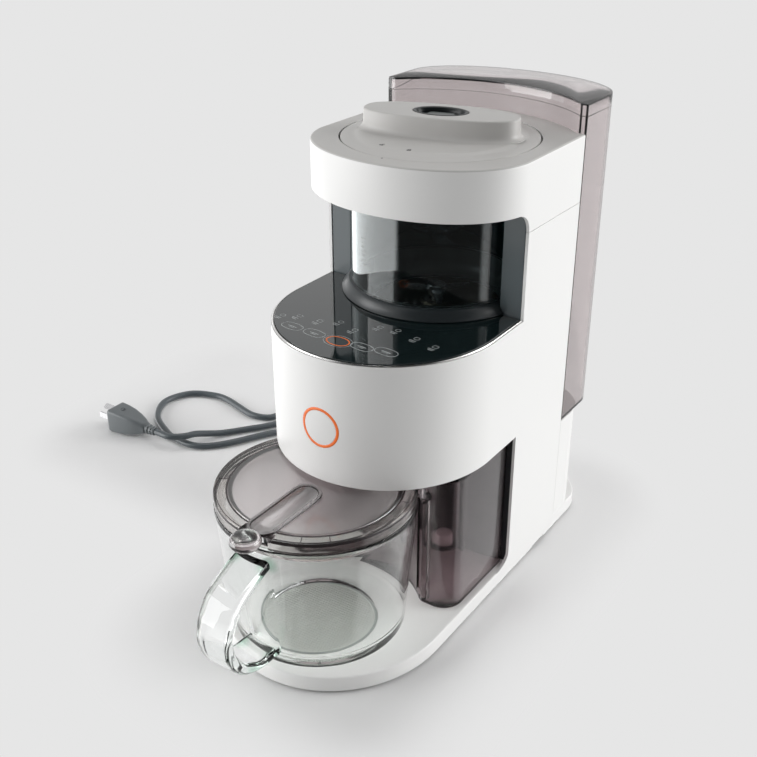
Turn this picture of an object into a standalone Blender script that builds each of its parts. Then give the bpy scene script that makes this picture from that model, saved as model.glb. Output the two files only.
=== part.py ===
"""Countertop soy milk maker: a glass grinding chamber over a curved drum, a covered glass cup on the
base, a waste water box behind the cup and a water tank along the back.

Metres, +Z up. The machine faces -Y and stands on its feet at z = 0, with its overall box centred on
the origin."""

import math

import bmesh
import bpy
from mathutils import Matrix, Vector

# Clearances and walls
GAP = 0.0003
SLIDE_GAP = 0.001
CUT = 0.005
WALL = 0.0025
CHAMFER = 0.0008

# Heights of the housing, upwards from the floor
FOOT_HEIGHT = 0.002
BASE_HEIGHT = 0.0137
BAY_HEIGHT = 0.1258
DRUM_HEIGHT = 0.1041
UPPER_GAP_HEIGHT = 0.0864
HEAD_HEIGHT = 0.039
SEAM_DROP = 0.016
LEDGE_HEIGHT = 0.115

# Plan of the housing, forwards and backwards from the flat back edge of its side walls
BODY_WIDTH = 0.185
COLUMN_DEPTH = 0.088
BASE_FRONT = 0.3045
BASE_CURVE_DEPTH = 0.0993
DRUM_FRONT = 0.2282
DRUM_CURVE_DEPTH = 0.0949
HEAD_FRONT = 0.160
HEAD_CURVE_DEPTH = 0.0673
BACK_ARC_RISE = 0.034
BACK_ARC_HALF_SHARE = 0.9265
REAR_CURVE_DEPTH = 0.0505
TANK_REAR = 0.0915
LOWER_REAR = 0.0715
FOOT_REAR = 0.087

# Base tray
TRAY_RIM_WIDTH = 0.0045
TRAY_RIM_SLOPE = 0.0007
TRAY_RIM_HEIGHT = 0.0004
PAN_THICKNESS = 0.002
FOOT_RADIUS = 0.009
FOOT_INSET = 0.020
FOOT_FRONT_SETBACK = 0.245
FOOT_HALF_SPREAD = 0.045
PAD_RADIUS = 0.0478
PAD_THICKNESS = 0.0018
PAD_SETBACK = 0.2350

# Side walls where they run out into the base
TOE_LENGTH = 0.019
TOE_HEIGHT = 0.010
LIP_DEPTH = 0.0006

# Drum, its panel and the light ring on its front
PANEL_THICKNESS = 0.003
PANEL_RIM_WIDTH = 0.0018
DRUM_RIM_DROP = 0.0016
LIGHT_RING_RADIUS = 0.0155
LIGHT_RING_WIDTH = 0.0021
LIGHT_RING_DEPTH = 0.0010
LIGHT_RING_HEIGHT = 0.187

# Grinding chamber
CHAMBER_SETBACK = 0.065
GLASS_RADIUS = 0.0705
GLASS_WALL = 0.003
FOOT_RING_RADIUS = 0.0790
FOOT_RING_TOP_RADIUS = 0.0745
FOOT_RING_HEIGHT = 0.009
RECESS_RADIUS = 0.0742
BACKDROP_WALL = 0.002
BACKDROP_TOP_RISE = 0.012
PAN_RIM_RADIUS = 0.0704
PAN_FLOOR_RADIUS = 0.056
PAN_DEPTH = 0.012
PAN_WALL = 0.0015
PAN_RIM_RISE = 0.016
SHAFT_RADIUS = 0.004
SHAFT_CLEARANCE = 0.0015

# Mouth of the chamber under the lid
THROAT_RADIUS = 0.0640
THROAT_WALL = 0.0075
THROAT_DEPTH = 0.025
FLANGE_RADIUS = 0.087
FLANGE_THICKNESS = 0.003
FLANGE_RIM_WIDTH = 0.006

# Chamber lid
LID_RADIUS = 0.0778
LID_GROOVE = 0.0011
LID_SEAT_DEPTH = 0.006
LID_RISE = 0.0025
LID_SLOPE_RADIUS = 0.064
GRIP_HALF_LENGTH = 0.063
GRIP_HALF_WIDTH = 0.0245
GRIP_HEIGHT = 0.0182
GRIP_TURN = math.radians(12.5)
GRIP_ROUNDNESS = 2.45
GRIP_FOOT_FLARE = 0.0015
VENT_HALF_LENGTH = 0.0225
VENT_HALF_WIDTH = 0.0150
VENT_RING_WIDTH = 0.0018
VENT_RING_DEPTH = 0.0050
VENT_INSERT_DEPTH = 0.0030
VENT_INSERT_THICKNESS = 0.0015

# Inner lid
PLUG_RADIUS = 0.0620
PLUG_DEPTH = 0.012
INNER_FLANGE_RADIUS = 0.0715
INNER_WALL = 0.0022
CHIMNEY_RADIUS = 0.008
CHIMNEY_BORE = 0.005
SEAL_RADIUS = 0.0637
SEAL_HEIGHT = 0.004

# Motor, blade and chassis
CHASSIS_DROP = 0.0156
CHASSIS_THICKNESS = 0.0025
CHASSIS_BACK_CLEARANCE = 0.010
MOTOR_RADIUS = 0.036
MOTOR_HEIGHT = 0.080
ROTOR_RADIUS = 0.028
ROTOR_MARGIN = 0.008
HUB_RADIUS = 0.008
HUB_HEIGHT = 0.008
BLADE_REACH = 0.027
BLADE_WIDTH = 0.010
BLADE_THICKNESS = 0.0016
BLADE_LIFT = 0.006

# Parts inside the drum, the column and the back
VALVE_SIZE = (0.026, 0.030, 0.026)
VALVE_SETBACK = 0.128
PIPE_RADIUS = 0.004
NOZZLE_SETBACK = 0.198
NOZZLE_RADIUS = 0.008
NOZZLE_BORE = 0.005
NOZZLE_FLANGE = 0.012
NOZZLE_FLANGE_HEIGHT = 0.002
NOZZLE_RISE = 0.010
NOZZLE_PROUD = 0.001
BOARD_THICKNESS = 0.0016
BOARD_HALF_WIDTH = 0.050
BOARD_FRONT_SETBACK = 0.205
BOARD_BACK_SETBACK = 0.155
BOARD_RISE = 0.004
POST_RADIUS = 0.003
POWER_BOARD_HALF_WIDTH = 0.060
POWER_BOARD_SETBACK = 0.055
POWER_BOARD_HEIGHT = 0.100
TRANSFORMER_SIZE = (0.032, 0.026, 0.030)
CAPACITOR_RADIUS = 0.008
CAPACITOR_LENGTH = 0.022
CAPACITOR_X = 0.036
PUMP_RADIUS = 0.016
PUMP_HEIGHT = 0.045
PUMP_X = 0.045
PUMP_SETBACK = 0.012
WATER_PIPE_RADIUS = 0.003
WATER_PIPE_X = 0.030
WATER_PIPE_BACK = 0.0140

# Water tank, its lid, valve and socket
TANK_WALL = 0.0025
TANK_LID_TOP = 0.394
TANK_LID_HEIGHT = 0.0102
TANK_LID_WALL = 0.0024
TANK_PORT_BACK = 0.0525
TANK_PORT_RADIUS = 0.0085
TANK_VALVE_RADIUS = 0.012
TANK_VALVE_HEIGHT = 0.006
SOCKET_RADIUS = 0.0115
SOCKET_BORE = 0.0075
SOCKET_FLANGE = 0.0140
SOCKET_FLANGE_HEIGHT = 0.002
SOCKET_DEPTH = 0.014

# Waste water box
BOX_SIDE_CLEARANCE = 0.003
BOX_WALL = 0.0025
BOX_HORN_BEHIND_CUP = 0.055
BOX_HORN_SHARE = 0.67
BOX_HOLLOW_RADIUS = 0.0815
BOX_COVER_HEIGHT = 0.0026
BOX_TOP_CLEARANCE = 0.0016
BOX_GRIP_RADIUS = 0.0065
BOX_GRIP_WALL = 0.0022
BOX_GRIP_ANGLE = math.radians(45)
BOX_GRIP_LOW = 0.006
BOX_GRIP_HIGH = 0.098
WELL_WIDTH_SHARE = 0.487
WELL_WALL = 0.002
WELL_X = 0.046
WELL_PLACE_SHARE = 0.6035
WELL_DEPTH = 0.100

# Cup with its handle
CUP_SETBACK = 0.231
CUP_X = -0.003
CUP_RADIUS = 0.0780
CUP_NECK_RADIUS = 0.0772
CUP_FOOT_RADIUS = 0.0700
CUP_FOOT_CHAMFER = 0.003
CUP_WALL = 0.0035
CUP_PUNT_RADIUS = 0.044
CUP_PUNT_HEIGHT = 0.002
CUP_FLOOR = 0.006
CUP_HEIGHT = 0.1125
CUP_LIP_HEIGHT = 0.0040
CUP_NECK_HEIGHT = 0.0035
HANDLE_REACH = 0.1215
HANDLE_ROOT = 0.0747
HANDLE_WIDTH = 0.027
HANDLE_THICKNESS = 0.009
HANDLE_LOW = 0.0155
HANDLE_HIGH = 0.0985
HANDLE_PATH_SHARES = (
    (0.00, 1.00),
    (0.25, 0.95),
    (0.48, 0.89),
    (0.65, 0.84),
    (0.78, 0.78),
    (0.87, 0.70),
    (0.95, 0.61),
    (1.00, 0.47),
    (0.95, 0.33),
    (0.84, 0.205),
    (0.70, 0.114),
    (0.50, 0.052),
    (0.29, 0.018),
    (-0.125, 0.0),
)

# Cup lid and its thumb lever
CUP_LID_RADIUS = 0.0778
CUP_LID_HEIGHT = 0.0095
CUP_LID_EDGE_HEIGHT = 0.0050
CUP_LID_FACE_RADIUS = 0.0672
CUP_LID_GROOVE_WIDTH = 0.0014
CUP_LID_GROOVE_DEPTH = 0.0012
CUP_LID_WALL = 0.0025
CUP_LID_SKIRT_DEPTH = 0.0068
CUP_LID_SKIRT_CLEARANCE = 0.0008
POUR_SLOT_HALF_WIDTH = 0.0075
POUR_SLOT_BACK = 0.050
POUR_SLOT_FRONT = 0.066
LEVER_HALF_WIDTH = 0.0125
LEVER_THICKNESS = 0.0022
LEVER_BACK = 0.006
LEVER_FRONT = 0.079
THUMB_REACH = 0.0875
THUMB_RADIUS = 0.0125
THUMB_HALF_HEIGHT = 0.0085
THUMB_RISE = 0.0105
THUMB_BITE_RADIUS = 0.0155
LEVER_HINGE_REACH = 0.070

# Power cord: how far left of the middle, behind the side walls' back edge and above the floor
CORD_RADIUS = 0.0035
GLAND_X = -0.035
GLAND_HEIGHT = 0.035
GLAND_RADIUS = 0.008
GLAND_TIP_RADIUS = 0.0055
GLAND_LENGTH = 0.024
GLAND_INNER_LENGTH = 0.006
CORD_EXIT_RUN = 0.017
PLUG_TURN = math.radians(0)
PLUG_ENTRY = (-0.3260, -0.0940, 0.0135)
PLUG_LENGTH = 0.044
PLUG_BOOT_LENGTH = 0.016
PLUG_BOOT_RADIUS = 0.006
PLUG_HALF_DEPTH = 0.0125
PLUG_HALF_HEIGHT = 0.013
PLUG_NECK_SHARE = 0.62
PIN_LENGTH = 0.018
PIN_HALF_WIDTH = 0.0031
PIN_HALF_THICKNESS = 0.0009
PIN_SPREAD = 0.0065
PIN_LOW = 0.0055
CORD_ROUTE = (
    (-0.0400, 0.1180, 0.0270),
    (-0.0640, 0.1330, 0.0130),
    (-0.1000, 0.1390, 0.0045),
    (-0.1500, 0.1350, 0.0036),
    (-0.2000, 0.1120, 0.0036),
    (-0.2350, 0.0700, 0.0036),
    (-0.2500, 0.0350, 0.0036),
    (-0.2560, 0.0120, 0.0036),
    (-0.2760, 0.0050, 0.0036),
    (-0.2990, 0.0100, 0.0036),
    (-0.3220, 0.0160, 0.0036),
    (-0.3420, 0.0160, 0.0036),
    (-0.3690, 0.0030, 0.0036),
    (-0.3790, -0.0270, 0.0036),
    (-0.3610, -0.0570, 0.0036),
    (-0.3300, -0.0750, 0.0036),
    (-0.3140, -0.0800, 0.0036),
    (-0.2830, -0.0800, 0.0036),
    (-0.2600, -0.0600, 0.0036),
    (-0.2320, -0.0130, 0.0036),
    (-0.2000, 0.0250, 0.0036),
    (-0.1720, 0.0480, 0.0036),
    (-0.1600, 0.0720, 0.0036),
    (-0.1740, 0.0930, 0.0036),
    (-0.1960, 0.0880, 0.0036),
    (-0.2160, 0.0550, 0.0036),
    (-0.2430, 0.0020, 0.0036),
    (-0.2600, -0.0220, 0.0036),
    (-0.2770, -0.0440, 0.0038),
    (-0.2850, -0.0580, 0.0072),
    (-0.2905, -0.0710, 0.0112),
    (-0.2945, -0.0825, 0.0127),
    (-0.3010, -0.0905, 0.0135),
)
CORD_STEP = 0.0165

# Resolution of round pieces
ROUND = 48
SMALL_ROUND = 20
HIDDEN_ROUND = 32
CURVE_STEPS = 20

# Levels and lines that follow from the sizes above
HALF = BODY_WIDTH / 2
BASE_TOP = FOOT_HEIGHT + BASE_HEIGHT
DRUM_BOTTOM = BASE_TOP + BAY_HEIGHT
PANEL_TOP = DRUM_BOTTOM + DRUM_HEIGHT
HEAD_BOTTOM = PANEL_TOP + UPPER_GAP_HEIGHT
HEAD_TOP = HEAD_BOTTOM + HEAD_HEIGHT
SEAM = HEAD_BOTTOM - SEAM_DROP
TRAY_FLOOR = BASE_TOP - TRAY_RIM_HEIGHT
FRONT_REACH = CUP_SETBACK + HANDLE_REACH + HANDLE_THICKNESS / 2
BACK = (FRONT_REACH - TANK_REAR) / 2
COLUMN_FRONT = BACK - COLUMN_DEPTH
CHAMBER = (0.0, BACK - CHAMBER_SETBACK)
CUP = (CUP_X, BACK - CUP_SETBACK)
BACK_ARC_RADIUS = ((BACK_ARC_HALF_SHARE * HALF) ** 2 + BACK_ARC_RISE**2) / (2 * BACK_ARC_RISE)
ARC_CENTRE_Y = BACK + BACK_ARC_RISE - BACK_ARC_RADIUS
CHASSIS_TOP = PANEL_TOP - CHASSIS_DROP
CHASSIS_BOTTOM = CHASSIS_TOP - CHASSIS_THICKNESS


def material(name, colour, roughness, metallic=0.0, alpha=1.0):
    """A Principled material with one plain finish."""
    mat = bpy.data.materials.new(name)
    mat.use_nodes = True
    shader = mat.node_tree.nodes["Principled BSDF"]
    shader.inputs["Base Color"].default_value = (*colour, 1.0)
    shader.inputs["Roughness"].default_value = roughness
    shader.inputs["Metallic"].default_value = metallic
    shader.inputs["Alpha"].default_value = alpha
    return mat


def arc(centre, radius, start, end, steps):
    """Points along a circle from one angle to another, ends included."""
    points = []
    for i in range(steps + 1):
        angle = start + (end - start) * i / steps
        points.append((centre[0] + radius * math.cos(angle), centre[1] + radius * math.sin(angle)))
    return points


def circle(centre, radius, steps=ROUND):
    """A closed circle, without its first point repeated."""
    return arc(centre, radius, 0.0, math.tau, steps)[:-1]


def front_curve(half, front_y, depth, steps=CURVE_STEPS):
    """The half ellipse that closes a level in front, from its left side round to its right side."""
    points = []
    for i in range(steps + 1):
        angle = math.pi + math.pi * i / steps
        points.append((half * math.cos(angle), front_y + depth + depth * math.sin(angle)))
    return points


def rear_curve(half, rear_y, depth, steps=CURVE_STEPS):
    """The half ellipse that closes a level behind, from its right side round to its left side."""
    points = []
    for i in range(steps + 1):
        angle = math.pi * i / steps
        points.append((half * math.cos(angle), rear_y - depth + depth * math.sin(angle)))
    return points


def back_arc(radius, back_y):
    """The convex back between the side walls' back edges, from the right edge to the left one."""
    angle = math.asin((back_y - ARC_CENTRE_Y) / radius)
    return arc((0.0, ARC_CENTRE_Y), radius, angle, math.pi - angle, CURVE_STEPS)


def inset(outline, distance):
    """The outline moved inwards by a distance, with the same number of points."""
    count = len(outline)
    moved = []
    for i in range(count):
        here = Vector(outline[i])
        before = (here - Vector(outline[i - 1])).normalized()
        after = (Vector(outline[(i + 1) % count]) - here).normalized()
        normal_before = Vector((-before.y, before.x))
        normal_after = Vector((-after.y, after.x))
        bisector = (normal_before + normal_after).normalized()
        moved.append(tuple(here + bisector * distance / bisector.dot(normal_before)))
    return moved


def at(outline, z):
    """The outline raised to a height."""
    return [(x, y, z) for x, y in outline]


def mesh_object(name, mesh, mat, origin, smooth):
    obj = bpy.data.objects.new(name, mesh)
    bpy.context.scene.collection.objects.link(obj)
    mesh.transform(Matrix.Translation(-Vector(origin)))
    obj.location = origin
    mesh.materials.append(mat)
    if smooth:
        mesh.shade_smooth()
        mesh.set_sharp_from_angle(angle=math.radians(32))
    return obj


def stack(name, loops, mat, closed=False, origin=(0.0, 0.0, 0.0), smooth=True):
    """A solid skinned over loops of equal count. A closed one joins its last loop to its first,
    and an open one has a flat face on each end."""
    form = bmesh.new()
    rows = [[form.verts.new(point) for point in loop] for loop in loops]
    pairs = list(zip(rows, rows[1:]))
    if closed:
        pairs.append((rows[-1], rows[0]))
    count = len(rows[0])
    for low, high in pairs:
        for i in range(count):
            j = (i + 1) % count
            form.faces.new((low[i], low[j], high[j], high[i]))
    if not closed:
        form.faces.new(list(reversed(rows[0])))
        form.faces.new(rows[-1])
    bmesh.ops.recalc_face_normals(form, faces=form.faces)
    mesh = bpy.data.meshes.new(name)
    form.to_mesh(mesh)
    form.free()
    return mesh_object(name, mesh, mat, origin, smooth)


def prism(name, outline, low, high, mat, origin=(0.0, 0.0, 0.0), smooth=True):
    return stack(name, [at(outline, low), at(outline, high)], mat, origin=origin, smooth=smooth)


def turned(name, centre, profile, mat, closed=False, steps=ROUND, origin=(0.0, 0.0, 0.0)):
    """A turned piece about an upright axis, from radius and height pairs."""
    loops = [at(circle(centre, radius, steps), z) for radius, z in profile]
    return stack(name, loops, mat, closed, origin)


def box(name, low, high, mat, origin=(0.0, 0.0, 0.0)):
    outline = [(low[0], low[1]), (high[0], low[1]), (high[0], high[1]), (low[0], high[1])]
    return prism(name, outline, low[2], high[2], mat, origin, smooth=False)


def across(name, outline_yz, left, right, mat):
    """A bar along X whose section is given in Y and Z."""
    loops = [[(x, y, z) for y, z in outline_yz] for x in (left, right)]
    return stack(name, loops, mat, smooth=False)


def shape(obj, tool, operation):
    """Cut the tool from the object, or join it on, and then put the tool away."""
    modifier = obj.modifiers.new("shape", "BOOLEAN")
    modifier.operation = operation
    modifier.solver = "EXACT"
    modifier.object = tool
    bpy.context.view_layer.update()
    evaluated = obj.evaluated_get(bpy.context.evaluated_depsgraph_get())
    mesh = bpy.data.meshes.new_from_object(evaluated)
    old = obj.data
    mats = list(old.materials)
    obj.modifiers.remove(modifier)
    obj.data = mesh
    mesh.name = obj.name
    mesh.materials.clear()
    mesh.materials.append(mats[0])
    bpy.data.meshes.remove(old)
    spare = tool.data
    bpy.data.objects.remove(tool)
    bpy.data.meshes.remove(spare)
    form = bmesh.new()
    form.from_mesh(mesh)
    bmesh.ops.remove_doubles(form, verts=form.verts, dist=GAP / 30)
    bmesh.ops.dissolve_degenerate(form, edges=form.edges, dist=GAP / 30)
    form.to_mesh(mesh)
    form.free()
    mesh.set_sharp_from_angle(angle=math.radians(32))
    return obj


def cut(obj, tool):
    return shape(obj, tool, "DIFFERENCE")


def join(obj, tool):
    return shape(obj, tool, "UNION")


def smooth_route(points, step):
    """A smooth curve through the points, read off at even steps, with both ends kept."""
    points = [Vector(p) for p in points]
    padded = [points[0] * 2 - points[1], *points, points[-1] * 2 - points[-2]]
    fine = []
    for i in range(1, len(padded) - 2):
        p0, p1, p2, p3 = padded[i - 1 : i + 3]
        for k in range(24):
            t = k / 24
            fine.append(
                (p1 * 2 + (p2 - p0) * t + (p0 * 2 - p1 * 5 + p2 * 4 - p3) * t**2
                 + (p1 * 3 - p0 - p2 * 3 + p3) * t**3) / 2
            )
    fine.append(points[-1])
    length = sum((b - a).length for a, b in zip(fine, fine[1:]))
    count = max(2, round(length / step))
    even = [fine[0]]
    run = 0.0
    target = length / count
    for a, b in zip(fine, fine[1:]):
        span = (b - a).length
        while span > 0 and run + span >= target * len(even) and len(even) < count:
            even.append(a.lerp(b, (target * len(even) - run) / span))
        run += span
    even.append(fine[-1])
    return even


def tube(name, points, radius, mat, origin=(0.0, 0.0, 0.0)):
    """A round tube with flat ends along the points."""
    curve = bpy.data.curves.new(name, "CURVE")
    curve.dimensions = "3D"
    curve.bevel_depth = radius
    curve.bevel_resolution = 2
    curve.resolution_u = 1
    curve.use_fill_caps = True
    spline = curve.splines.new("POLY")
    spline.points.add(len(points) - 1)
    for spot, point in zip(spline.points, points):
        spot.co = (*(Vector(point) - Vector(origin)), 1.0)
    curve.materials.append(mat)
    obj = bpy.data.objects.new(name, curve)
    bpy.context.scene.collection.objects.link(obj)
    obj.location = origin
    return obj


def joint_empty(name, spot):
    """An empty on a joint's axis, which the pieces that move with it hang from."""
    empty = bpy.data.objects.new(name, None)
    empty.empty_display_size = HALF / 10
    empty.location = spot
    bpy.context.scene.collection.objects.link(empty)
    return empty


def hang(empty, *pieces):
    """Parent pieces to an empty without moving them."""
    bpy.context.view_layer.update()
    for piece in pieces:
        world = piece.matrix_world.copy()
        piece.parent = empty
        piece.matrix_parent_inverse = empty.matrix_world.inverted()
        piece.matrix_world = world


def bitten_plate(half, front_y, depth, back_y, bite_radius):
    """A level's front with a straight back edge, and a round bite in that edge for the chamber."""
    reach = math.sqrt(bite_radius**2 - (back_y - CHAMBER[1]) ** 2)
    angle = math.atan2(back_y - CHAMBER[1], reach)
    bite = arc(CHAMBER, bite_radius, angle, -math.pi - angle, CURVE_STEPS)
    return [*front_curve(half, front_y, depth), (half, back_y), *bite, (-half, back_y)]


def superellipse(centre, half_length, half_width, power, turn, steps=ROUND):
    """A rounded oblong, turned about its centre."""
    points = []
    for i in range(steps):
        angle = math.tau * i / steps
        c, s = math.cos(angle), math.sin(angle)
        x = half_length * math.copysign(abs(c) ** (2 / power), c)
        y = half_width * math.copysign(abs(s) ** (2 / power), s)
        points.append((
            centre[0] + x * math.cos(turn) - y * math.sin(turn),
            centre[1] + x * math.sin(turn) + y * math.cos(turn),
        ))
    return points


def obround(x, back_y, front_y, half_width, steps=12):
    """A slot outline along Y with round ends."""
    near = arc((x, front_y + half_width), half_width, math.pi, math.tau, steps)
    far = arc((x, back_y - half_width), half_width, 0.0, math.pi, steps)
    return near + far


for leftover in list(bpy.data.objects):
    bpy.data.objects.remove(leftover)

WHITE = material("white_body", (0.86, 0.86, 0.85), 0.32)
GREY_TOP = material("warm_grey_top", (0.66, 0.65, 0.64), 0.38)
DARK = material("dark_back", (0.035, 0.042, 0.047), 0.25)
PANEL_BLACK = material("panel_black", (0.012, 0.020, 0.022), 0.06)
SILVER = material("silver_trim", (0.72, 0.72, 0.72), 0.22, 1.0)
ORANGE = material("orange_ring", (0.80, 0.25, 0.07), 0.35)
STEEL = material("steel", (0.62, 0.62, 0.63), 0.25, 1.0)
GLASS = material("clear_glass", (0.92, 0.97, 0.95), 0.04, 0.0, 0.35)
SMOKE = material("smoke_plastic", (0.36, 0.32, 0.33), 0.08, 0.0, 0.75)
RUBBER = material("black_rubber", (0.03, 0.03, 0.03), 0.7)
GREY_PLASTIC = material("grey_plastic", (0.35, 0.36, 0.37), 0.4)
BOARD_GREEN = material("board_green", (0.05, 0.22, 0.10), 0.5)
PAD_GREY = material("pad_grey", (0.62, 0.63, 0.60), 0.5)
CORD_GREY = material("cord_grey", (0.09, 0.105, 0.115), 0.5)
SEAL_WHITE = material("seal_white", (0.80, 0.80, 0.78), 0.6)


# Outlines of the housing's levels
base_outline = [
    *front_curve(HALF, BACK - BASE_FRONT, BASE_CURVE_DEPTH),
    *rear_curve(HALF, BACK + FOOT_REAR, REAR_CURVE_DEPTH),
]
back_edge = back_arc(BACK_ARC_RADIUS, BACK)


# Base: a moulded tray over a flat bottom pan, on four rubber feet
tray = stack("base_tray", [
    at(inset(base_outline, WALL), TRAY_FLOOR - WALL),
    at(inset(base_outline, WALL), FOOT_HEIGHT),
    at(base_outline, FOOT_HEIGHT),
    at(base_outline, BASE_TOP),
    at(inset(base_outline, TRAY_RIM_WIDTH), BASE_TOP),
    at(inset(base_outline, TRAY_RIM_WIDTH + TRAY_RIM_SLOPE), TRAY_FLOOR),
], WHITE)
pad_centre = (CUP_X, BACK - PAD_SETBACK)
pad_bottom = BASE_TOP - PAD_THICKNESS
cut(tray, prism("tool", circle(pad_centre, PAD_RADIUS + GAP), pad_bottom - GAP, BASE_TOP + CUT, WHITE))
prism("cup_pad", circle(pad_centre, PAD_RADIUS), pad_bottom, pad_bottom + PAD_THICKNESS, PAD_GREY)
prism(
    "base_pan", inset(base_outline, WALL + GAP), FOOT_HEIGHT, FOOT_HEIGHT + PAN_THICKNESS, GREY_PLASTIC
)
foot_rows = {
    "front": BACK - FOOT_FRONT_SETBACK,
    "rear": BACK + FOOT_REAR - REAR_CURVE_DEPTH,
}
foot_sides = {"left": -1, "right": 1}
for row, foot_y in foot_rows.items():
    for side, sign in foot_sides.items():
        spread = FOOT_HALF_SPREAD if row == "front" else HALF - FOOT_INSET
        turned(
            f"foot_{row}_{side}",
            (sign * spread, foot_y),
            [(FOOT_RADIUS - CHAMFER, 0.0), (FOOT_RADIUS, CHAMFER), (FOOT_RADIUS, FOOT_HEIGHT - GAP)],
            RUBBER,
            steps=SMALL_ROUND,
        )


# Column: two side walls and the convex back, open in front
inner_back = back_arc(BACK_ARC_RADIUS - WALL, BACK - WALL)
column_outline = [
    (HALF, COLUMN_FRONT),
    (HALF, BACK),
    *back_edge,
    (-HALF, BACK),
    (-HALF, COLUMN_FRONT),
    (WALL - HALF, COLUMN_FRONT),
    (WALL - HALF, BACK - WALL),
    *reversed(inner_back),
    (HALF - WALL, BACK - WALL),
    (HALF - WALL, COLUMN_FRONT),
]
column = prism("column_shell", column_outline, BASE_TOP + GAP, SEAM - GAP, WHITE)
toe_curve = []
for i in range(7):
    angle = math.pi / 2 * i / 6
    toe_curve.append((
        COLUMN_FRONT - TOE_LENGTH * (1 - math.sin(angle)),
        BASE_TOP + GAP + TOE_HEIGHT * (1 - math.cos(angle)),
    ))
toe_outline = [*toe_curve, (COLUMN_FRONT + WALL, BASE_TOP + GAP + TOE_HEIGHT), (COLUMN_FRONT + WALL, BASE_TOP + GAP)]
for low_x, high_x in ((-HALF, WALL - HALF), (HALF - WALL, HALF)):
    join(column, across("tool", toe_outline, low_x, high_x, WHITE))


# Dark wall that closes the column behind the cup and the waste box
lip = COLUMN_FRONT + LIP_DEPTH
box(
    "bay_wall",
    (GAP + WALL - HALF, lip, BASE_TOP + GAP),
    (HALF - WALL - GAP, lip + BACKDROP_WALL, DRUM_BOTTOM - GAP),
    DARK,
)


# Drum: a curved wall and a floor, open above and into the column
drum_outline = [
    *front_curve(HALF, BACK - DRUM_FRONT, DRUM_CURVE_DEPTH),
    (HALF, COLUMN_FRONT - GAP),
    (-HALF, COLUMN_FRONT - GAP),
]
drum_inner = [
    *front_curve(HALF - WALL, BACK - DRUM_FRONT + WALL, DRUM_CURVE_DEPTH - WALL),
    (HALF - WALL, COLUMN_FRONT + CUT),
    (WALL - HALF, COLUMN_FRONT + CUT),
]
drum_rim = PANEL_TOP - DRUM_RIM_DROP
drum = prism("drum_shell", drum_outline, DRUM_BOTTOM, drum_rim, WHITE)
cut(drum, prism("tool", drum_inner, DRUM_BOTTOM + WALL, PANEL_TOP + CUT, WHITE))
nozzle_spot = (0.0, BACK - NOZZLE_SETBACK)
cut(drum, prism(
    "tool", circle(nozzle_spot, NOZZLE_RADIUS + GAP, SMALL_ROUND), DRUM_BOTTOM - CUT, DRUM_BOTTOM + WALL + CUT, WHITE
))


def drum_face(x):
    """How far forward the drum's front stands at a distance from its middle."""
    return BACK - DRUM_FRONT + DRUM_CURVE_DEPTH * (1 - math.sqrt(1 - (x / HALF) ** 2))


def ring_on_drum(name, inner, outer, proud, depth, mat):
    """A ring that lies in the drum's curved front, between two depths from its surface."""
    loops = []
    for i in range(ROUND):
        angle = math.tau * i / ROUND
        loop = []
        for radius, sunk in ((inner, -proud), (outer, -proud), (outer, depth), (inner, depth)):
            x = radius * math.cos(angle)
            loop.append((x, drum_face(x) + sunk, LIGHT_RING_HEIGHT + radius * math.sin(angle)))
        loops.append(loop)
    return stack(name, loops, mat, closed=True)


ring_inner = LIGHT_RING_RADIUS - LIGHT_RING_WIDTH / 2
ring_outer = LIGHT_RING_RADIUS + LIGHT_RING_WIDTH / 2
cut(drum, ring_on_drum("tool", ring_inner - GAP, ring_outer + GAP, CUT, LIGHT_RING_DEPTH + GAP, WHITE))
ring_on_drum("light_ring", ring_inner, ring_outer, 0.0, LIGHT_RING_DEPTH, ORANGE)


# Control panel, and the bright rim round it
panel_back = COLUMN_FRONT - GAP
rim_inset = WALL - PANEL_RIM_WIDTH
panel_inset = WALL + GAP
panel_outline = bitten_plate(
    HALF - panel_inset,
    BACK - DRUM_FRONT + panel_inset,
    DRUM_CURVE_DEPTH - panel_inset,
    panel_back,
    GLASS_RADIUS + WALL,
)
prism("control_panel", panel_outline, PANEL_TOP - PANEL_THICKNESS, PANEL_TOP, PANEL_BLACK)


def rim_line(distance):
    return front_curve(HALF - distance, BACK - DRUM_FRONT + distance, DRUM_CURVE_DEPTH - distance)


outer_line = [(rim_inset - HALF, panel_back), *rim_line(rim_inset), (HALF - rim_inset, panel_back)]
inner_reach = rim_inset + PANEL_RIM_WIDTH
inner_line = [(inner_reach - HALF, panel_back), *rim_line(inner_reach), (HALF - inner_reach, panel_back)]
prism(
    "panel_rim", outer_line + list(reversed(inner_line)), drum_rim + GAP, PANEL_TOP - PANEL_RIM_WIDTH / 4, SILVER
)


# Chassis plate that carries the motor, the boards and the chamber
chassis_inset = WALL + GAP
chassis_back = BACK - CHASSIS_BACK_CLEARANCE
chassis = prism("chassis_plate", [
    *front_curve(HALF - chassis_inset, BACK - DRUM_FRONT + chassis_inset, DRUM_CURVE_DEPTH - chassis_inset),
    (HALF - chassis_inset, chassis_back),
    (chassis_inset - HALF, chassis_back),
], CHASSIS_BOTTOM, CHASSIS_TOP, GREY_PLASTIC)
cut(chassis, prism(
    "tool", circle(CHAMBER, SHAFT_RADIUS * 2 + SHAFT_CLEARANCE), CHASSIS_BOTTOM - CUT, CHASSIS_TOP + CUT, WHITE
))


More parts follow.
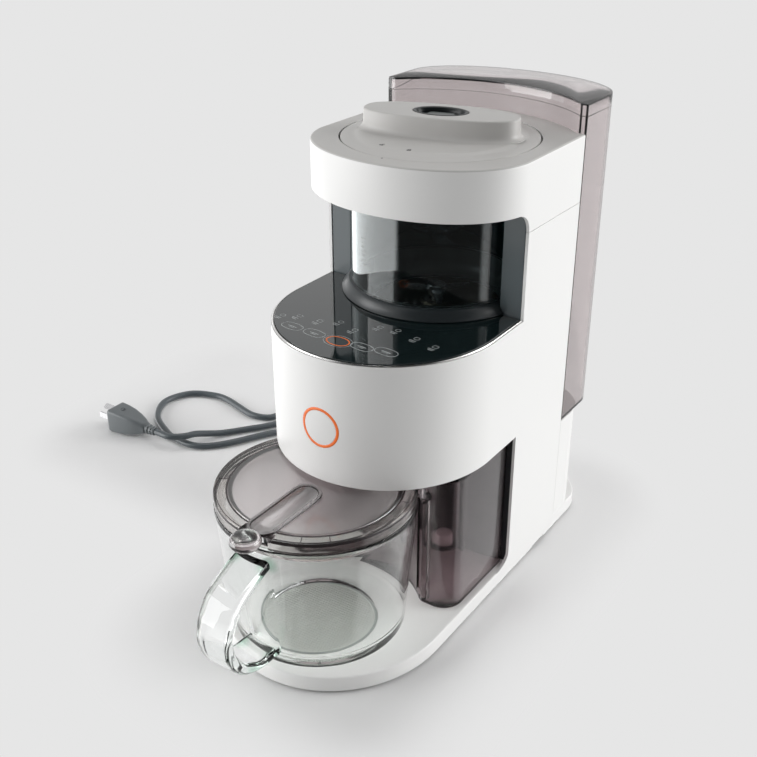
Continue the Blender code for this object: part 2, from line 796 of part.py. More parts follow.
# Dark wall behind the glass, with a round recess that the chamber stands in
backdrop_front = lip
flange_x = math.sqrt(RECESS_RADIUS**2 - (backdrop_front - CHAMBER[1]) ** 2)
recess_start = math.atan2(backdrop_front - CHAMBER[1], flange_x)
outer_recess = RECESS_RADIUS + BACKDROP_WALL
flange_back = backdrop_front + BACKDROP_WALL
outer_flange_x = math.sqrt(outer_recess**2 - (flange_back - CHAMBER[1]) ** 2)
outer_start = math.atan2(flange_back - CHAMBER[1], outer_flange_x)
flange_end = HALF - WALL - GAP
backdrop_outline = [
    (flange_end, backdrop_front),
    (flange_end, flange_back),
    *arc(CHAMBER, outer_recess, outer_start, math.pi - outer_start, CURVE_STEPS),
    (-flange_end, flange_back),
    (-flange_end, backdrop_front),
    *arc(CHAMBER, RECESS_RADIUS, math.pi - recess_start, recess_start, CURVE_STEPS),
]
backdrop_top = HEAD_BOTTOM + BACKDROP_TOP_RISE
prism("chamber_backdrop", backdrop_outline, CHASSIS_TOP + GAP, backdrop_top, DARK)


# Grinding chamber: steel pan, glass cylinder and the dark ring round its foot
pan_bottom = CHASSIS_TOP + GAP
pan_rim = PANEL_TOP + PAN_RIM_RISE
bore = SHAFT_RADIUS + SHAFT_CLEARANCE
turned("chamber_pan", CHAMBER, [
    (bore, pan_bottom),
    (PAN_FLOOR_RADIUS, pan_bottom),
    (PAN_RIM_RADIUS, pan_bottom + PAN_DEPTH),
    (PAN_RIM_RADIUS, pan_rim),
    (PAN_RIM_RADIUS - PAN_WALL, pan_rim),
    (PAN_RIM_RADIUS - PAN_WALL, pan_bottom + PAN_DEPTH + PAN_WALL / 2),
    (PAN_FLOOR_RADIUS - PAN_WALL / 2, pan_bottom + PAN_WALL),
    (bore, pan_bottom + PAN_WALL),
], DARK, closed=True)
throat_bottom = HEAD_TOP - LID_SEAT_DEPTH - THROAT_DEPTH
turned("chamber_glass", CHAMBER, [
    (GLASS_RADIUS, pan_rim + GAP),
    (GLASS_RADIUS, throat_bottom - GAP),
    (GLASS_RADIUS - GLASS_WALL, throat_bottom - GAP),
    (GLASS_RADIUS - GLASS_WALL, pan_rim + GAP),
], GLASS, closed=True)
foot_ring_bottom = PANEL_TOP + GAP
foot_ring = turned("chamber_foot_ring", CHAMBER, [
    (FOOT_RING_RADIUS, foot_ring_bottom),
    (FOOT_RING_RADIUS, foot_ring_bottom + FOOT_RING_HEIGHT / 5),
    (FOOT_RING_TOP_RADIUS, foot_ring_bottom + FOOT_RING_HEIGHT),
    (PAN_RIM_RADIUS + WALL, foot_ring_bottom + FOOT_RING_HEIGHT),
    (PAN_RIM_RADIUS + GAP, foot_ring_bottom + FOOT_RING_HEIGHT * 3 / 4),
    (PAN_RIM_RADIUS + GAP, foot_ring_bottom),
], DARK, closed=True)
notch_radius = RECESS_RADIUS - GAP
notch_y = backdrop_front - GAP
notch_x = math.sqrt(notch_radius**2 - (notch_y - CHAMBER[1]) ** 2)
notch_start = math.atan2(notch_y - CHAMBER[1], notch_x)
notch_far = FOOT_RING_RADIUS + CUT
notch_outline = [
    (notch_far, notch_y),
    (notch_far, CHAMBER[1] + notch_far),
    (-notch_far, CHAMBER[1] + notch_far),
    (-notch_far, notch_y),
    *arc(CHAMBER, notch_radius, math.pi - notch_start, notch_start, CURVE_STEPS),
]
cut(foot_ring, prism(
    "tool", notch_outline, foot_ring_bottom - CUT, foot_ring_bottom + FOOT_RING_HEIGHT + CUT, WHITE
))


# Head: a cap with a round hole for the lid, over a flat underplate
head_outline = [
    *front_curve(HALF, BACK - HEAD_FRONT, HEAD_CURVE_DEPTH),
    (HALF, BACK),
    *back_edge,
    (-HALF, BACK),
]
head = stack("head_shell", [
    at(head_outline, SEAM),
    at(head_outline, HEAD_TOP - CHAMFER),
    at(inset(head_outline, CHAMFER), HEAD_TOP),
], WHITE)
fillet_front = COLUMN_FRONT - SEAM_DROP
fillet_curve = []
for i in range(7):
    angle = math.pi / 2 * i / 6
    fillet_curve.append((
        fillet_front + (COLUMN_FRONT - GAP - fillet_front) * math.sin(angle),
        SEAM + SEAM_DROP * math.cos(angle),
    ))
under_head = [
    (BACK - HEAD_FRONT - CUT, SEAM - CUT),
    (BACK - HEAD_FRONT - CUT, HEAD_BOTTOM),
    *fillet_curve,
    (COLUMN_FRONT - GAP, SEAM - CUT),
]
cut(head, across("tool", under_head, -HALF - CUT, HALF + CUT, WHITE))
head_inner = [
    *front_curve(HALF - WALL, BACK - HEAD_FRONT + WALL, HEAD_CURVE_DEPTH - WALL),
    (HALF - WALL, BACK - WALL),
    *inner_back,
    (WALL - HALF, BACK - WALL),
]
cut(head, prism("tool", head_inner, SEAM - CUT, HEAD_TOP - WALL, WHITE))
lid_hole = LID_RADIUS + LID_GROOVE
cut(head, prism("tool", circle(CHAMBER, lid_hole), HEAD_TOP - WALL - CUT, HEAD_TOP + CUT, WHITE))
underplate_inset = WALL + GAP
prism("head_underplate", bitten_plate(
    HALF - underplate_inset,
    BACK - HEAD_FRONT + underplate_inset,
    HEAD_CURVE_DEPTH - underplate_inset,
    backdrop_front - GAP,
    GLASS_RADIUS + GAP * 2,
), HEAD_BOTTOM + GAP, HEAD_BOTTOM + GAP + WALL, DARK)


# Mouth of the chamber: a funnel under the top, whose flange the lid rests on
flange_top = HEAD_TOP - LID_SEAT_DEPTH
turned("chamber_throat", CHAMBER, [
    (THROAT_RADIUS, throat_bottom),
    (THROAT_RADIUS + THROAT_WALL, throat_bottom),
    (THROAT_RADIUS + THROAT_WALL, flange_top - FLANGE_THICKNESS),
    (FLANGE_RADIUS, flange_top - FLANGE_THICKNESS),
    (FLANGE_RADIUS, HEAD_TOP - WALL - GAP),
    (FLANGE_RADIUS - FLANGE_RIM_WIDTH, HEAD_TOP - WALL - GAP),
    (FLANGE_RADIUS - FLANGE_RIM_WIDTH, flange_top),
    (THROAT_RADIUS, flange_top),
], SEAL_WHITE, closed=True)


# Chamber lid: a stepped disc with a broad hollow grip across it
lid_seat = flange_top + GAP
lid_origin = (*CHAMBER, lid_seat)
lid_top = HEAD_TOP + LID_RISE
lid = turned("chamber_lid", CHAMBER, [
    (LID_SLOPE_RADIUS, lid_top - WALL),
    (LID_RADIUS - WALL, HEAD_TOP - WALL),
    (LID_RADIUS - WALL, lid_seat),
    (LID_RADIUS, lid_seat),
    (LID_RADIUS, HEAD_TOP - CHAMFER),
    (LID_RADIUS - CHAMFER, HEAD_TOP),
    (LID_SLOPE_RADIUS, lid_top),
], GREY_TOP, origin=lid_origin)
grip_top = HEAD_TOP + GRIP_HEIGHT


def grip_line(distance):
    return superellipse(
        CHAMBER, GRIP_HALF_LENGTH - distance, GRIP_HALF_WIDTH - distance, GRIP_ROUNDNESS, GRIP_TURN
    )


join(lid, stack("tool", [
    at(grip_line(-GRIP_FOOT_FLARE), lid_top - WALL / 2),
    at(grip_line(-GRIP_FOOT_FLARE), lid_top + CHAMFER / 2),
    at(grip_line(0.0), lid_top + CHAMFER / 2 + GRIP_FOOT_FLARE),
    at(grip_line(0.0), grip_top - CHAMFER),
    at(grip_line(CHAMFER), grip_top),
], GREY_TOP))
cut(lid, prism("tool", grip_line(WALL), lid_top - WALL - CUT / 5, grip_top - WALL, WHITE))
vent_hole = superellipse(CHAMBER, VENT_HALF_LENGTH + GAP, VENT_HALF_WIDTH + GAP, 2.0, GRIP_TURN)
cut(lid, prism("tool", vent_hole, grip_top - WALL - CUT, grip_top + CUT, WHITE))


def vent_line(distance):
    return superellipse(
        CHAMBER, VENT_HALF_LENGTH - distance, VENT_HALF_WIDTH - distance, 2.0, GRIP_TURN, steps=48
    )


vent_foot = grip_top - VENT_RING_DEPTH
vent_bezel = stack("vent_bezel", [
    at(vent_line(0.0), vent_foot),
    at(vent_line(0.0), grip_top),
    at(vent_line(VENT_RING_WIDTH), grip_top),
    at(vent_line(VENT_RING_WIDTH), grip_top - VENT_INSERT_DEPTH),
    at(vent_line(VENT_RING_WIDTH * 2), grip_top - VENT_INSERT_DEPTH),
    at(vent_line(VENT_RING_WIDTH * 2), vent_foot),
], DARK, closed=True, origin=lid_origin)
vent_insert = prism(
    "vent_insert",
    vent_line(VENT_RING_WIDTH + GAP),
    grip_top - VENT_INSERT_DEPTH + GAP,
    grip_top - VENT_INSERT_DEPTH + GAP + VENT_INSERT_THICKNESS,
    GREY_PLASTIC,
    origin=lid_origin,
)


# Inner lid: a plug in the throat with a chimney up into the grip, and its seal
plug_bottom = flange_top - PLUG_DEPTH
chimney_top = vent_foot - GAP
inner_lid = turned("inner_lid", CHAMBER, [
    (CHIMNEY_BORE, plug_bottom),
    (PLUG_RADIUS, plug_bottom),
    (PLUG_RADIUS, lid_seat),
    (INNER_FLANGE_RADIUS, lid_seat),
    (INNER_FLANGE_RADIUS, lid_seat + INNER_WALL),
    (PLUG_RADIUS - INNER_WALL, lid_seat + INNER_WALL),
    (PLUG_RADIUS - INNER_WALL, plug_bottom + INNER_WALL),
    (CHIMNEY_RADIUS, plug_bottom + INNER_WALL),
    (CHIMNEY_RADIUS, chimney_top),
    (CHIMNEY_BORE, chimney_top),
], SEAL_WHITE, closed=True, steps=HIDDEN_ROUND, origin=lid_origin)
inner_seal = turned("inner_lid_seal", CHAMBER, [
    (PLUG_RADIUS + GAP, plug_bottom + SEAL_HEIGHT / 2),
    (SEAL_RADIUS, plug_bottom + SEAL_HEIGHT / 2),
    (SEAL_RADIUS, plug_bottom + SEAL_HEIGHT * 3 / 2),
    (PLUG_RADIUS + GAP, plug_bottom + SEAL_HEIGHT * 3 / 2),
], RUBBER, closed=True, steps=HIDDEN_ROUND, origin=lid_origin)
lid_lift = joint_empty("lid_lift_axis", lid_origin)
hang(lid_lift, inner_lid, inner_seal)
lid_turn = joint_empty("lid_turn_axis", lid_origin)
hang(lid_lift, lid_turn)
hang(lid_turn, lid, vent_bezel, vent_insert)


# Motor under the chassis, with its rotor, shaft and the chamber's blade
motor_top = CHASSIS_BOTTOM - GAP
motor_bottom = motor_top - MOTOR_HEIGHT
turned("motor_case", CHAMBER, [
    (MOTOR_RADIUS - WALL, motor_bottom + WALL),
    (MOTOR_RADIUS - WALL, motor_top - WALL),
    (bore, motor_top - WALL),
    (bore, motor_top),
    (MOTOR_RADIUS, motor_top),
    (MOTOR_RADIUS, motor_bottom),
], STEEL, steps=HIDDEN_ROUND)
blade_bottom = pan_bottom + PAN_WALL + ROTOR_MARGIN
rotor_origin = (*CHAMBER, blade_bottom)
rotor = turned("motor_rotor", CHAMBER, [
    (SHAFT_RADIUS, motor_bottom + WALL + GAP),
    (SHAFT_RADIUS, motor_bottom + WALL + ROTOR_MARGIN),
    (ROTOR_RADIUS, motor_bottom + WALL + ROTOR_MARGIN),
    (ROTOR_RADIUS, motor_top - WALL - ROTOR_MARGIN),
    (SHAFT_RADIUS, motor_top - WALL - ROTOR_MARGIN),
    (SHAFT_RADIUS, blade_bottom - GAP),
], STEEL, steps=SMALL_ROUND, origin=rotor_origin)
blade = turned("blade", CHAMBER, [
    (HUB_RADIUS, blade_bottom),
    (HUB_RADIUS, blade_bottom + HUB_HEIGHT - CHAMFER),
    (HUB_RADIUS - CHAMFER, blade_bottom + HUB_HEIGHT),
], STEEL, steps=SMALL_ROUND, origin=rotor_origin)
for i in range(2):
    heading = math.pi / 2 * i + math.pi / 5
    lift = BLADE_LIFT * (1 - 2 * i) / 2
    level = blade_bottom + HUB_HEIGHT / 2
    along = Vector((math.cos(heading), math.sin(heading), 0.0))
    side = Vector((-along.y, along.x, 0.0)) * BLADE_WIDTH / 2
    up = Vector((0.0, 0.0, BLADE_THICKNESS / 2))
    middle = Vector((*CHAMBER, level))
    stations = (
        (-BLADE_REACH, lift, 0.4),
        (-HUB_RADIUS / 2, 0.0, 1.0),
        (HUB_RADIUS / 2, 0.0, 1.0),
        (BLADE_REACH, lift, 0.4),
    )
    loops = []
    for reach, raised, width_share in stations:
        spot = middle + along * reach + Vector((0.0, 0.0, raised))
        loops.append([
            spot - side * width_share - up,
            spot + side * width_share - up,
            spot + side * width_share + up,
            spot - side * width_share + up,
        ])
    join(blade, stack("tool", loops, STEEL, smooth=False))
rotor_axis = joint_empty("rotor_axis", rotor_origin)
hang(rotor_axis, rotor, blade)


# Discharge: a valve block under the chassis, a pipe and the nozzle over the cup
valve_y = BACK - VALVE_SETBACK
valve_low = CHASSIS_BOTTOM - GAP - VALVE_SIZE[2]
box(
    "discharge_valve",
    (-VALVE_SIZE[0] / 2, valve_y - VALVE_SIZE[1] / 2, valve_low),
    (VALVE_SIZE[0] / 2, valve_y + VALVE_SIZE[1] / 2, CHASSIS_BOTTOM - GAP),
    GREY_PLASTIC,
)
nozzle_seat = DRUM_BOTTOM + WALL + GAP
nozzle_top = nozzle_seat + NOZZLE_RISE
turned("spout_nozzle", nozzle_spot, [
    (NOZZLE_BORE, DRUM_BOTTOM - NOZZLE_PROUD),
    (NOZZLE_RADIUS, DRUM_BOTTOM - NOZZLE_PROUD),
    (NOZZLE_RADIUS, nozzle_seat),
    (NOZZLE_FLANGE, nozzle_seat),
    (NOZZLE_FLANGE, nozzle_seat + NOZZLE_FLANGE_HEIGHT),
    (NOZZLE_RADIUS, nozzle_seat + NOZZLE_FLANGE_HEIGHT),
    (NOZZLE_RADIUS, nozzle_top),
    (NOZZLE_BORE, nozzle_top),
], SEAL_WHITE, closed=True, steps=SMALL_ROUND)
pipe_start = Vector((0.0, valve_y - VALVE_SIZE[1] / 2 - GAP, valve_low + VALVE_SIZE[2] / 2))
pipe_end = Vector((*nozzle_spot, nozzle_top + GAP))
pipe_bend = Vector((0.0, pipe_end.y, pipe_start.z))
pipe_points = [
    pipe_start,
    pipe_start.lerp(pipe_bend, 0.25),
    pipe_start.lerp(pipe_bend, 0.80).lerp(pipe_end, 0.06),
    pipe_bend.lerp(pipe_end, 0.35),
    pipe_bend.lerp(pipe_end, 0.85),
    pipe_end,
]
tube("discharge_pipe", smooth_route(pipe_points, PIPE_RADIUS * 2), PIPE_RADIUS, SEAL_WHITE)


# Boards: the touch board on posts under the panel, and the power board in the column
board_low = CHASSIS_TOP + GAP + BOARD_RISE
board_front = BACK - BOARD_FRONT_SETBACK
board_back = BACK - BOARD_BACK_SETBACK
touch_board = box(
    "control_board",
    (-BOARD_HALF_WIDTH, board_front, board_low),
    (BOARD_HALF_WIDTH, board_back, board_low + BOARD_THICKNESS),
    BOARD_GREEN,
)
for x in (POST_RADIUS * 2 - BOARD_HALF_WIDTH, BOARD_HALF_WIDTH - POST_RADIUS * 2):
    for y in (board_front + POST_RADIUS * 2, board_back - POST_RADIUS * 2):
        join(touch_board, turned(
            "tool", (x, y), [(POST_RADIUS, CHASSIS_TOP + GAP), (POST_RADIUS, board_low + BOARD_THICKNESS / 2)],
            WHITE, steps=8,
        ))
power_y = BACK - POWER_BOARD_SETBACK
power_low = TRAY_FLOOR + GAP
power_board = box(
    "power_board",
    (-POWER_BOARD_HALF_WIDTH, power_y, power_low),
    (POWER_BOARD_HALF_WIDTH, power_y + BOARD_THICKNESS, power_low + POWER_BOARD_HEIGHT),
    BOARD_GREEN,
)
transformer_low = Vector((-TRANSFORMER_SIZE[0], power_y + BOARD_THICKNESS / 2, power_low + TRANSFORMER_SIZE[2]))
join(power_board, box("tool", transformer_low, transformer_low + Vector(TRANSFORMER_SIZE), WHITE))
capacitor = turned(
    "tool", (0.0, 0.0), [(CAPACITOR_RADIUS, 0.0), (CAPACITOR_RADIUS, CAPACITOR_LENGTH)], WHITE, steps=SMALL_ROUND
)
capacitor.matrix_world = (
    Matrix.Translation((CAPACITOR_X, power_y + BOARD_THICKNESS / 2, power_low + POWER_BOARD_HEIGHT / 2))
    @ Matrix.Rotation(-math.pi / 2, 4, "X")
)
join(power_board, capacitor)


# Back cover below the tank, with the socket that the tank's valve meets
cover_front = back_arc(BACK_ARC_RADIUS + GAP, BACK + GAP)
cover_outline = [
    (HALF, BACK + GAP),
    *rear_curve(HALF, BACK + LOWER_REAR, REAR_CURVE_DEPTH),
    (-HALF, BACK + GAP),
    *reversed(cover_front),
]
cover = stack("rear_cover", [
    at(inset(cover_outline, WALL), LEDGE_HEIGHT - WALL),
    at(inset(cover_outline, WALL), BASE_TOP + GAP),
    at(cover_outline, BASE_TOP + GAP),
    at(cover_outline, LEDGE_HEIGHT),
], WHITE)
port = (0.0, BACK + TANK_PORT_BACK)
cut(cover, prism(
    "tool", circle(port, SOCKET_RADIUS + GAP, SMALL_ROUND), LEDGE_HEIGHT - WALL - CUT, LEDGE_HEIGHT + CUT, WHITE
))
socket_foot = LEDGE_HEIGHT - SOCKET_DEPTH
socket_flange_top = LEDGE_HEIGHT - WALL - GAP
turned("tank_socket", port, [
    (SOCKET_BORE, socket_foot),
    (SOCKET_RADIUS, socket_foot),
    (SOCKET_RADIUS, socket_flange_top - SOCKET_FLANGE_HEIGHT),
    (SOCKET_FLANGE, socket_flange_top - SOCKET_FLANGE_HEIGHT),
    (SOCKET_FLANGE, socket_flange_top),
    (SOCKET_RADIUS, socket_flange_top),
    (SOCKET_RADIUS, LEDGE_HEIGHT),
    (SOCKET_BORE, LEDGE_HEIGHT),
], GREY_PLASTIC, closed=True, steps=SMALL_ROUND)
gland_back = BACK + LOWER_REAR - REAR_CURVE_DEPTH + REAR_CURVE_DEPTH * math.sqrt(1 - (GLAND_X / HALF) ** 2)
gland_tool = turned(
    "tool", (0.0, 0.0), [(GLAND_RADIUS + GAP, -CUT - GLAND_INNER_LENGTH), (GLAND_RADIUS + GAP, CUT)], WHITE,
    steps=SMALL_ROUND,
)
gland_frame = Matrix.Translation((GLAND_X, gland_back, GLAND_HEIGHT)) @ Matrix.Rotation(-math.pi / 2, 4, "X")
gland_tool.matrix_world = gland_frame
cut(cover, gland_tool)
gland = turned("cord_gland", (0.0, 0.0), [
    (GLAND_RADIUS, -GLAND_INNER_LENGTH),
    (GLAND_RADIUS, CHAMFER * 4),
    (GLAND_TIP_RADIUS, GLAND_LENGTH - GLAND_INNER_LENGTH),
], CORD_GREY, steps=SMALL_ROUND)
gland.matrix_world = gland_frame


# Pump in the column, its hose from the socket, and the water pipe up to the chamber's mouth
pump_spot = (PUMP_X, BACK - PUMP_SETBACK)
pump_top = TRAY_FLOOR + PUMP_HEIGHT
turned("water_pump", pump_spot, [
    (PUMP_RADIUS, TRAY_FLOOR + GAP),
    (PUMP_RADIUS, pump_top - CHAMFER),
    (PUMP_RADIUS - CHAMFER, pump_top),
], GREY_PLASTIC, steps=SMALL_ROUND)
hose_z = TRAY_FLOOR + PUMP_HEIGHT * 3 / 4
hose_bore = WATER_PIPE_RADIUS + SHAFT_CLEARANCE
arc_back = ARC_CENTRE_Y + BACK_ARC_RADIUS
for wall_piece in (column, cover):
    hose_tool = turned(
        "tool", (0.0, 0.0), [(hose_bore, -PUMP_RADIUS), (hose_bore, PUMP_RADIUS)], WHITE, steps=SMALL_ROUND
    )
    hose_tool.matrix_world = Matrix.Translation((0.0, arc_back, hose_z)) @ Matrix.Rotation(math.pi / 2, 4, "X")
    cut(wall_piece, hose_tool)
hose_drop = socket_foot - GAP - hose_z
tube("tank_hose", smooth_route([
    (0.0, port[1], socket_foot - GAP),
    (0.0, port[1], socket_foot - GAP - hose_drop / 3),
    (0.0, port[1] - hose_drop / 25, hose_z + hose_drop / 5),
    (0.0, port[1] - hose_drop / 7, hose_z + hose_drop / 40),
    (0.0, arc_back + CUT, hose_z),
    (0.0, arc_back, hose_z),
    (0.0, arc_back - PUMP_RADIUS, hose_z),
    (PUMP_X / 6, pump_spot[1] + PUMP_RADIUS / 3, hose_z),
    (PUMP_X / 2, pump_spot[1], hose_z),
    (PUMP_X - PUMP_RADIUS - GAP * 2, pump_spot[1], hose_z),
], WATER_PIPE_RADIUS * 2.5), WATER_PIPE_RADIUS, GREY_PLASTIC)
inlet_z = throat_bottom + THROAT_DEPTH / 2
riser_y = BACK + WATER_PIPE_BACK
riser_low = pump_top + PUMP_RADIUS * 2
pipe_end_y = CHAMBER[1] + math.sqrt((THROAT_RADIUS + THROAT_WALL) ** 2 - WATER_PIPE_X**2)
tube("water_pipe", smooth_route([
    (PUMP_X, pump_spot[1], pump_top + GAP),
    (PUMP_X, pump_spot[1], pump_top + PUMP_RADIUS / 2),
    (PUMP_X - PUMP_RADIUS / 4, pump_spot[1] + PUMP_RADIUS / 3, pump_top + PUMP_RADIUS * 5 / 4),
    (WATER_PIPE_X + PUMP_RADIUS / 8, riser_y - PUMP_RADIUS / 6, riser_low),
    (WATER_PIPE_X, riser_y, riser_low + PUMP_RADIUS),
    (WATER_PIPE_X, riser_y, (riser_low + inlet_z) / 2),
    (WATER_PIPE_X, riser_y, inlet_z - PUMP_RADIUS),
    (WATER_PIPE_X, riser_y - PUMP_RADIUS / 8, inlet_z - PUMP_RADIUS / 3),
    (WATER_PIPE_X, riser_y - PUMP_RADIUS / 2, inlet_z),
    (WATER_PIPE_X, pipe_end_y + WATER_PIPE_RADIUS, inlet_z),
], WATER_PIPE_RADIUS * 3), WATER_PIPE_RADIUS, GREY_PLASTIC)


# Water tank: a crescent vessel on the back cover's ledge, its lid and the valve in its floor
tank_front = back_arc(BACK_ARC_RADIUS + SLIDE_GAP, BACK + SLIDE_GAP)
tank_outline = [
    (HALF, BACK + SLIDE_GAP),
    *rear_curve(HALF, BACK + TANK_REAR, REAR_CURVE_DEPTH),
    (-HALF, BACK + SLIDE_GAP),
    *reversed(tank_front),
]
tank_low = LEDGE_HEIGHT + GAP
lid_low = TANK_LID_TOP - TANK_LID_HEIGHT
tank_origin = (0.0, port[1], tank_low)
tank_inner = inset(tank_outline, TANK_WALL)
tank = stack("water_tank", [
    at(tank_outline, tank_low),
    at(tank_outline, lid_low - GAP),
    at(tank_inner, lid_low - GAP),
    at(tank_inner, tank_low + TANK_WALL),
], SMOKE, origin=tank_origin)
cut(tank, prism(
    "tool", circle(port, TANK_PORT_RADIUS, SMALL_ROUND), tank_low - CUT, tank_low + TANK_WALL + CUT, WHITE
))
valve_seat = tank_low + TANK_WALL + GAP
tank_valve = turned("tank_valve", port, [
    (TANK_PORT_RADIUS - SLIDE_GAP, tank_low),
    (TANK_PORT_RADIUS - SLIDE_GAP, valve_seat),
    (TANK_VALVE_RADIUS, valve_seat),
    (TANK_VALVE_RADIUS, valve_seat + TANK_VALVE_HEIGHT - CHAMFER),
    (TANK_VALVE_RADIUS - CHAMFER, valve_seat + TANK_VALVE_HEIGHT),
], GREY_PLASTIC, steps=SMALL_ROUND, origin=tank_origin)
tank_lid = stack("tank_lid", [
    at(inset(tank_outline, TANK_LID_WALL), TANK_LID_TOP - TANK_LID_WALL),
    at(inset(tank_outline, TANK_LID_WALL), lid_low),
    at(tank_outline, lid_low),
    at(tank_outline, TANK_LID_TOP - CHAMFER),
    at(inset(tank_outline, CHAMFER), TANK_LID_TOP),
], SMOKE, origin=(0.0, port[1], lid_low))
tank_lift = joint_empty("tank_lift_axis", tank_origin)
hang(tank_lift, tank, tank_valve)
tank_lid_lift = joint_empty("tank_lid_axis", (0.0, port[1], lid_low))
hang(tank_lift, tank_lid_lift)
hang(tank_lid_lift, tank_lid)


# Waste water box behind the cup, hollowed round it, with grip recesses and a covered float well
box_back = COLUMN_FRONT - SLIDE_GAP
box_half_width = HALF - WALL - BOX_SIDE_CLEARANCE
horn_y = CUP[1] + BOX_HORN_BEHIND_CUP
hollow_x = math.sqrt(BOX_HOLLOW_RADIUS**2 - (horn_y - CUP[1]) ** 2)
hollow_angle = math.atan2(horn_y - CUP[1], hollow_x)
horn_radius = BOX_HORN_SHARE * (box_half_width - hollow_x)
horn_centre = (box_half_width - horn_radius, horn_y + horn_radius)
left_horn = arc((-horn_centre[0], horn_centre[1]), horn_radius, math.pi, math.pi * 3 / 2, 6)
right_horn = arc(horn_centre, horn_radius, -math.pi / 2, 0.0, 6)
box_outline = [
    (box_half_width, box_back),
    (-box_half_width, box_back),
    *left_horn,
    *arc(CUP, BOX_HOLLOW_RADIUS, math.pi - hollow_angle, hollow_angle, CURVE_STEPS),
    *right_horn,
]
box_low = BASE_TOP + GAP
cover_top = DRUM_BOTTOM - BOX_TOP_CLEARANCE
box_rim = cover_top - BOX_COVER_HEIGHT - GAP
box_origin = (0.0, box_back, box_low)
waste_box = stack("waste_box", [
    at(box_outline, box_low),
    at(box_outline, box_rim),
    at(inset(box_outline, BOX_WALL), box_rim),
    at(inset(box_outline, BOX_WALL), box_low + BOX_WALL),
], SMOKE, origin=box_origin)
grip_low = box_low + BOX_GRIP_LOW
grip_high = box_low + BOX_GRIP_HIGH
grip_reach = BOX_HOLLOW_RADIUS + BOX_GRIP_WALL / 2
for sign in (-1, 1):
    spot = (
        CUP[0] + sign * grip_reach * math.cos(BOX_GRIP_ANGLE),
        CUP[1] + grip_reach * math.sin(BOX_GRIP_ANGLE),
    )
    boss = prism(
        "boss",
        circle(spot, BOX_GRIP_RADIUS + BOX_GRIP_WALL, SMALL_ROUND),
        grip_low - BOX_GRIP_WALL,
        grip_high + BOX_GRIP_WALL,
        WHITE,
    )
    cut(boss, prism(
        "tool", circle(CUP, BOX_HOLLOW_RADIUS + BOX_WALL / 3), grip_low - CUT, grip_high + CUT, WHITE
    ))
    join(waste_box, boss)
    cut(waste_box, prism("tool", circle(spot, BOX_GRIP_RADIUS, SMALL_ROUND), grip_low, grip_high, WHITE))
box_cover = prism("waste_box_cover", box_outline, box_rim + GAP, cover_top, SMOKE, origin=box_origin)
well_front = CUP[1] + math.sqrt(BOX_HOLLOW_RADIUS**2 - (WELL_X - CUP[0]) ** 2) + BOX_WALL
well_room = box_back - BOX_WALL - well_front
well_radius = WELL_WIDTH_SHARE * well_room / 2
well_spot = (WELL_X, well_front + WELL_PLACE_SHARE * well_room)
well_low = cover_top - WELL_DEPTH
join(box_cover, turned("tool", well_spot, [
    (well_radius - WELL_WALL, well_low + WELL_WALL),
    (well_radius - WELL_WALL, cover_top - BOX_COVER_HEIGHT / 2),
    (well_radius, cover_top - BOX_COVER_HEIGHT / 2),
    (well_radius, well_low + well_radius / 3),
    (well_radius * 2 / 3, well_low),
], WHITE, steps=SMALL_ROUND))
cut(box_cover, prism(
    "tool", circle(well_spot, well_radius - WELL_WALL * 2, SMALL_ROUND), box_rim - CUT, cover_top + CUT, WHITE
))
box_slide = joint_empty("waste_box_axis", box_origin)
hang(box_slide, waste_box, box_cover)


# Cup: a thick glass vessel with a broad strap handle fused to its front
cup_low = BASE_TOP + GAP
cup_rim = cup_low + CUP_HEIGHT
cup_floor = cup_low + CUP_FLOOR
cup_origin = (*CUP, cup_low)
cup = turned("cup_glass", CUP, [
    (CUP_PUNT_RADIUS - CUP_PUNT_HEIGHT, cup_low + CUP_PUNT_HEIGHT),
    (CUP_PUNT_RADIUS, cup_low),
    (CUP_FOOT_RADIUS - CUP_FOOT_CHAMFER, cup_low),
    (CUP_FOOT_RADIUS, cup_low + CUP_FOOT_CHAMFER),
    (CUP_NECK_RADIUS, cup_rim - CUP_LIP_HEIGHT - CUP_NECK_HEIGHT),
    (CUP_RADIUS, cup_rim - CUP_LIP_HEIGHT),
    (CUP_RADIUS, cup_rim),
    (CUP_RADIUS - CUP_WALL, cup_rim),
    (CUP_NECK_RADIUS - CUP_WALL, cup_rim - CUP_LIP_HEIGHT * 3),
    (CUP_FOOT_RADIUS - CUP_WALL, cup_floor + CUP_FLOOR),
    (CUP_FOOT_RADIUS - CUP_WALL * 3, cup_floor),
], GLASS, origin=cup_origin)
handle_spots = []
for reach_share, height_share in HANDLE_PATH_SHARES:
    reach = HANDLE_ROOT + (HANDLE_REACH - HANDLE_ROOT) * reach_share
    height = HANDLE_LOW + (HANDLE_HIGH - HANDLE_LOW) * height_share
    handle_spots.append(Vector((CUP[0], CUP[1] - reach, cup_low + height)))
handle_loops = []
half_width = HANDLE_WIDTH / 2
half_thick = HANDLE_THICKNESS / 2
bevel = HANDLE_THICKNESS / 4
for i, spot in enumerate(handle_spots):
    before = handle_spots[max(i - 1, 0)]
    after = handle_spots[min(i + 1, len(handle_spots) - 1)]
    run = (after - before).normalized()
    if i in (0, len(handle_spots) - 1):
        run = Vector((0.0, -1.0 if i == 0 else 1.0, 0.0))
    out = Vector((0.0, run.z, -run.y))
    wide = Vector((1.0, 0.0, 0.0))
    corners = (
        (half_width - bevel, half_thick), (half_width, half_thick - bevel),
        (half_width, bevel - half_thick), (half_width - bevel, -half_thick),
        (bevel - half_width, -half_thick), (-half_width, bevel - half_thick),
        (-half_width, half_thick - bevel), (bevel - half_width, half_thick),
    )
    handle_loops.append([spot + wide * a + out * b for a, b in corners])
join(cup, stack("tool", handle_loops, GLASS))
cup_slide = joint_empty("cup_axis", cup_origin)
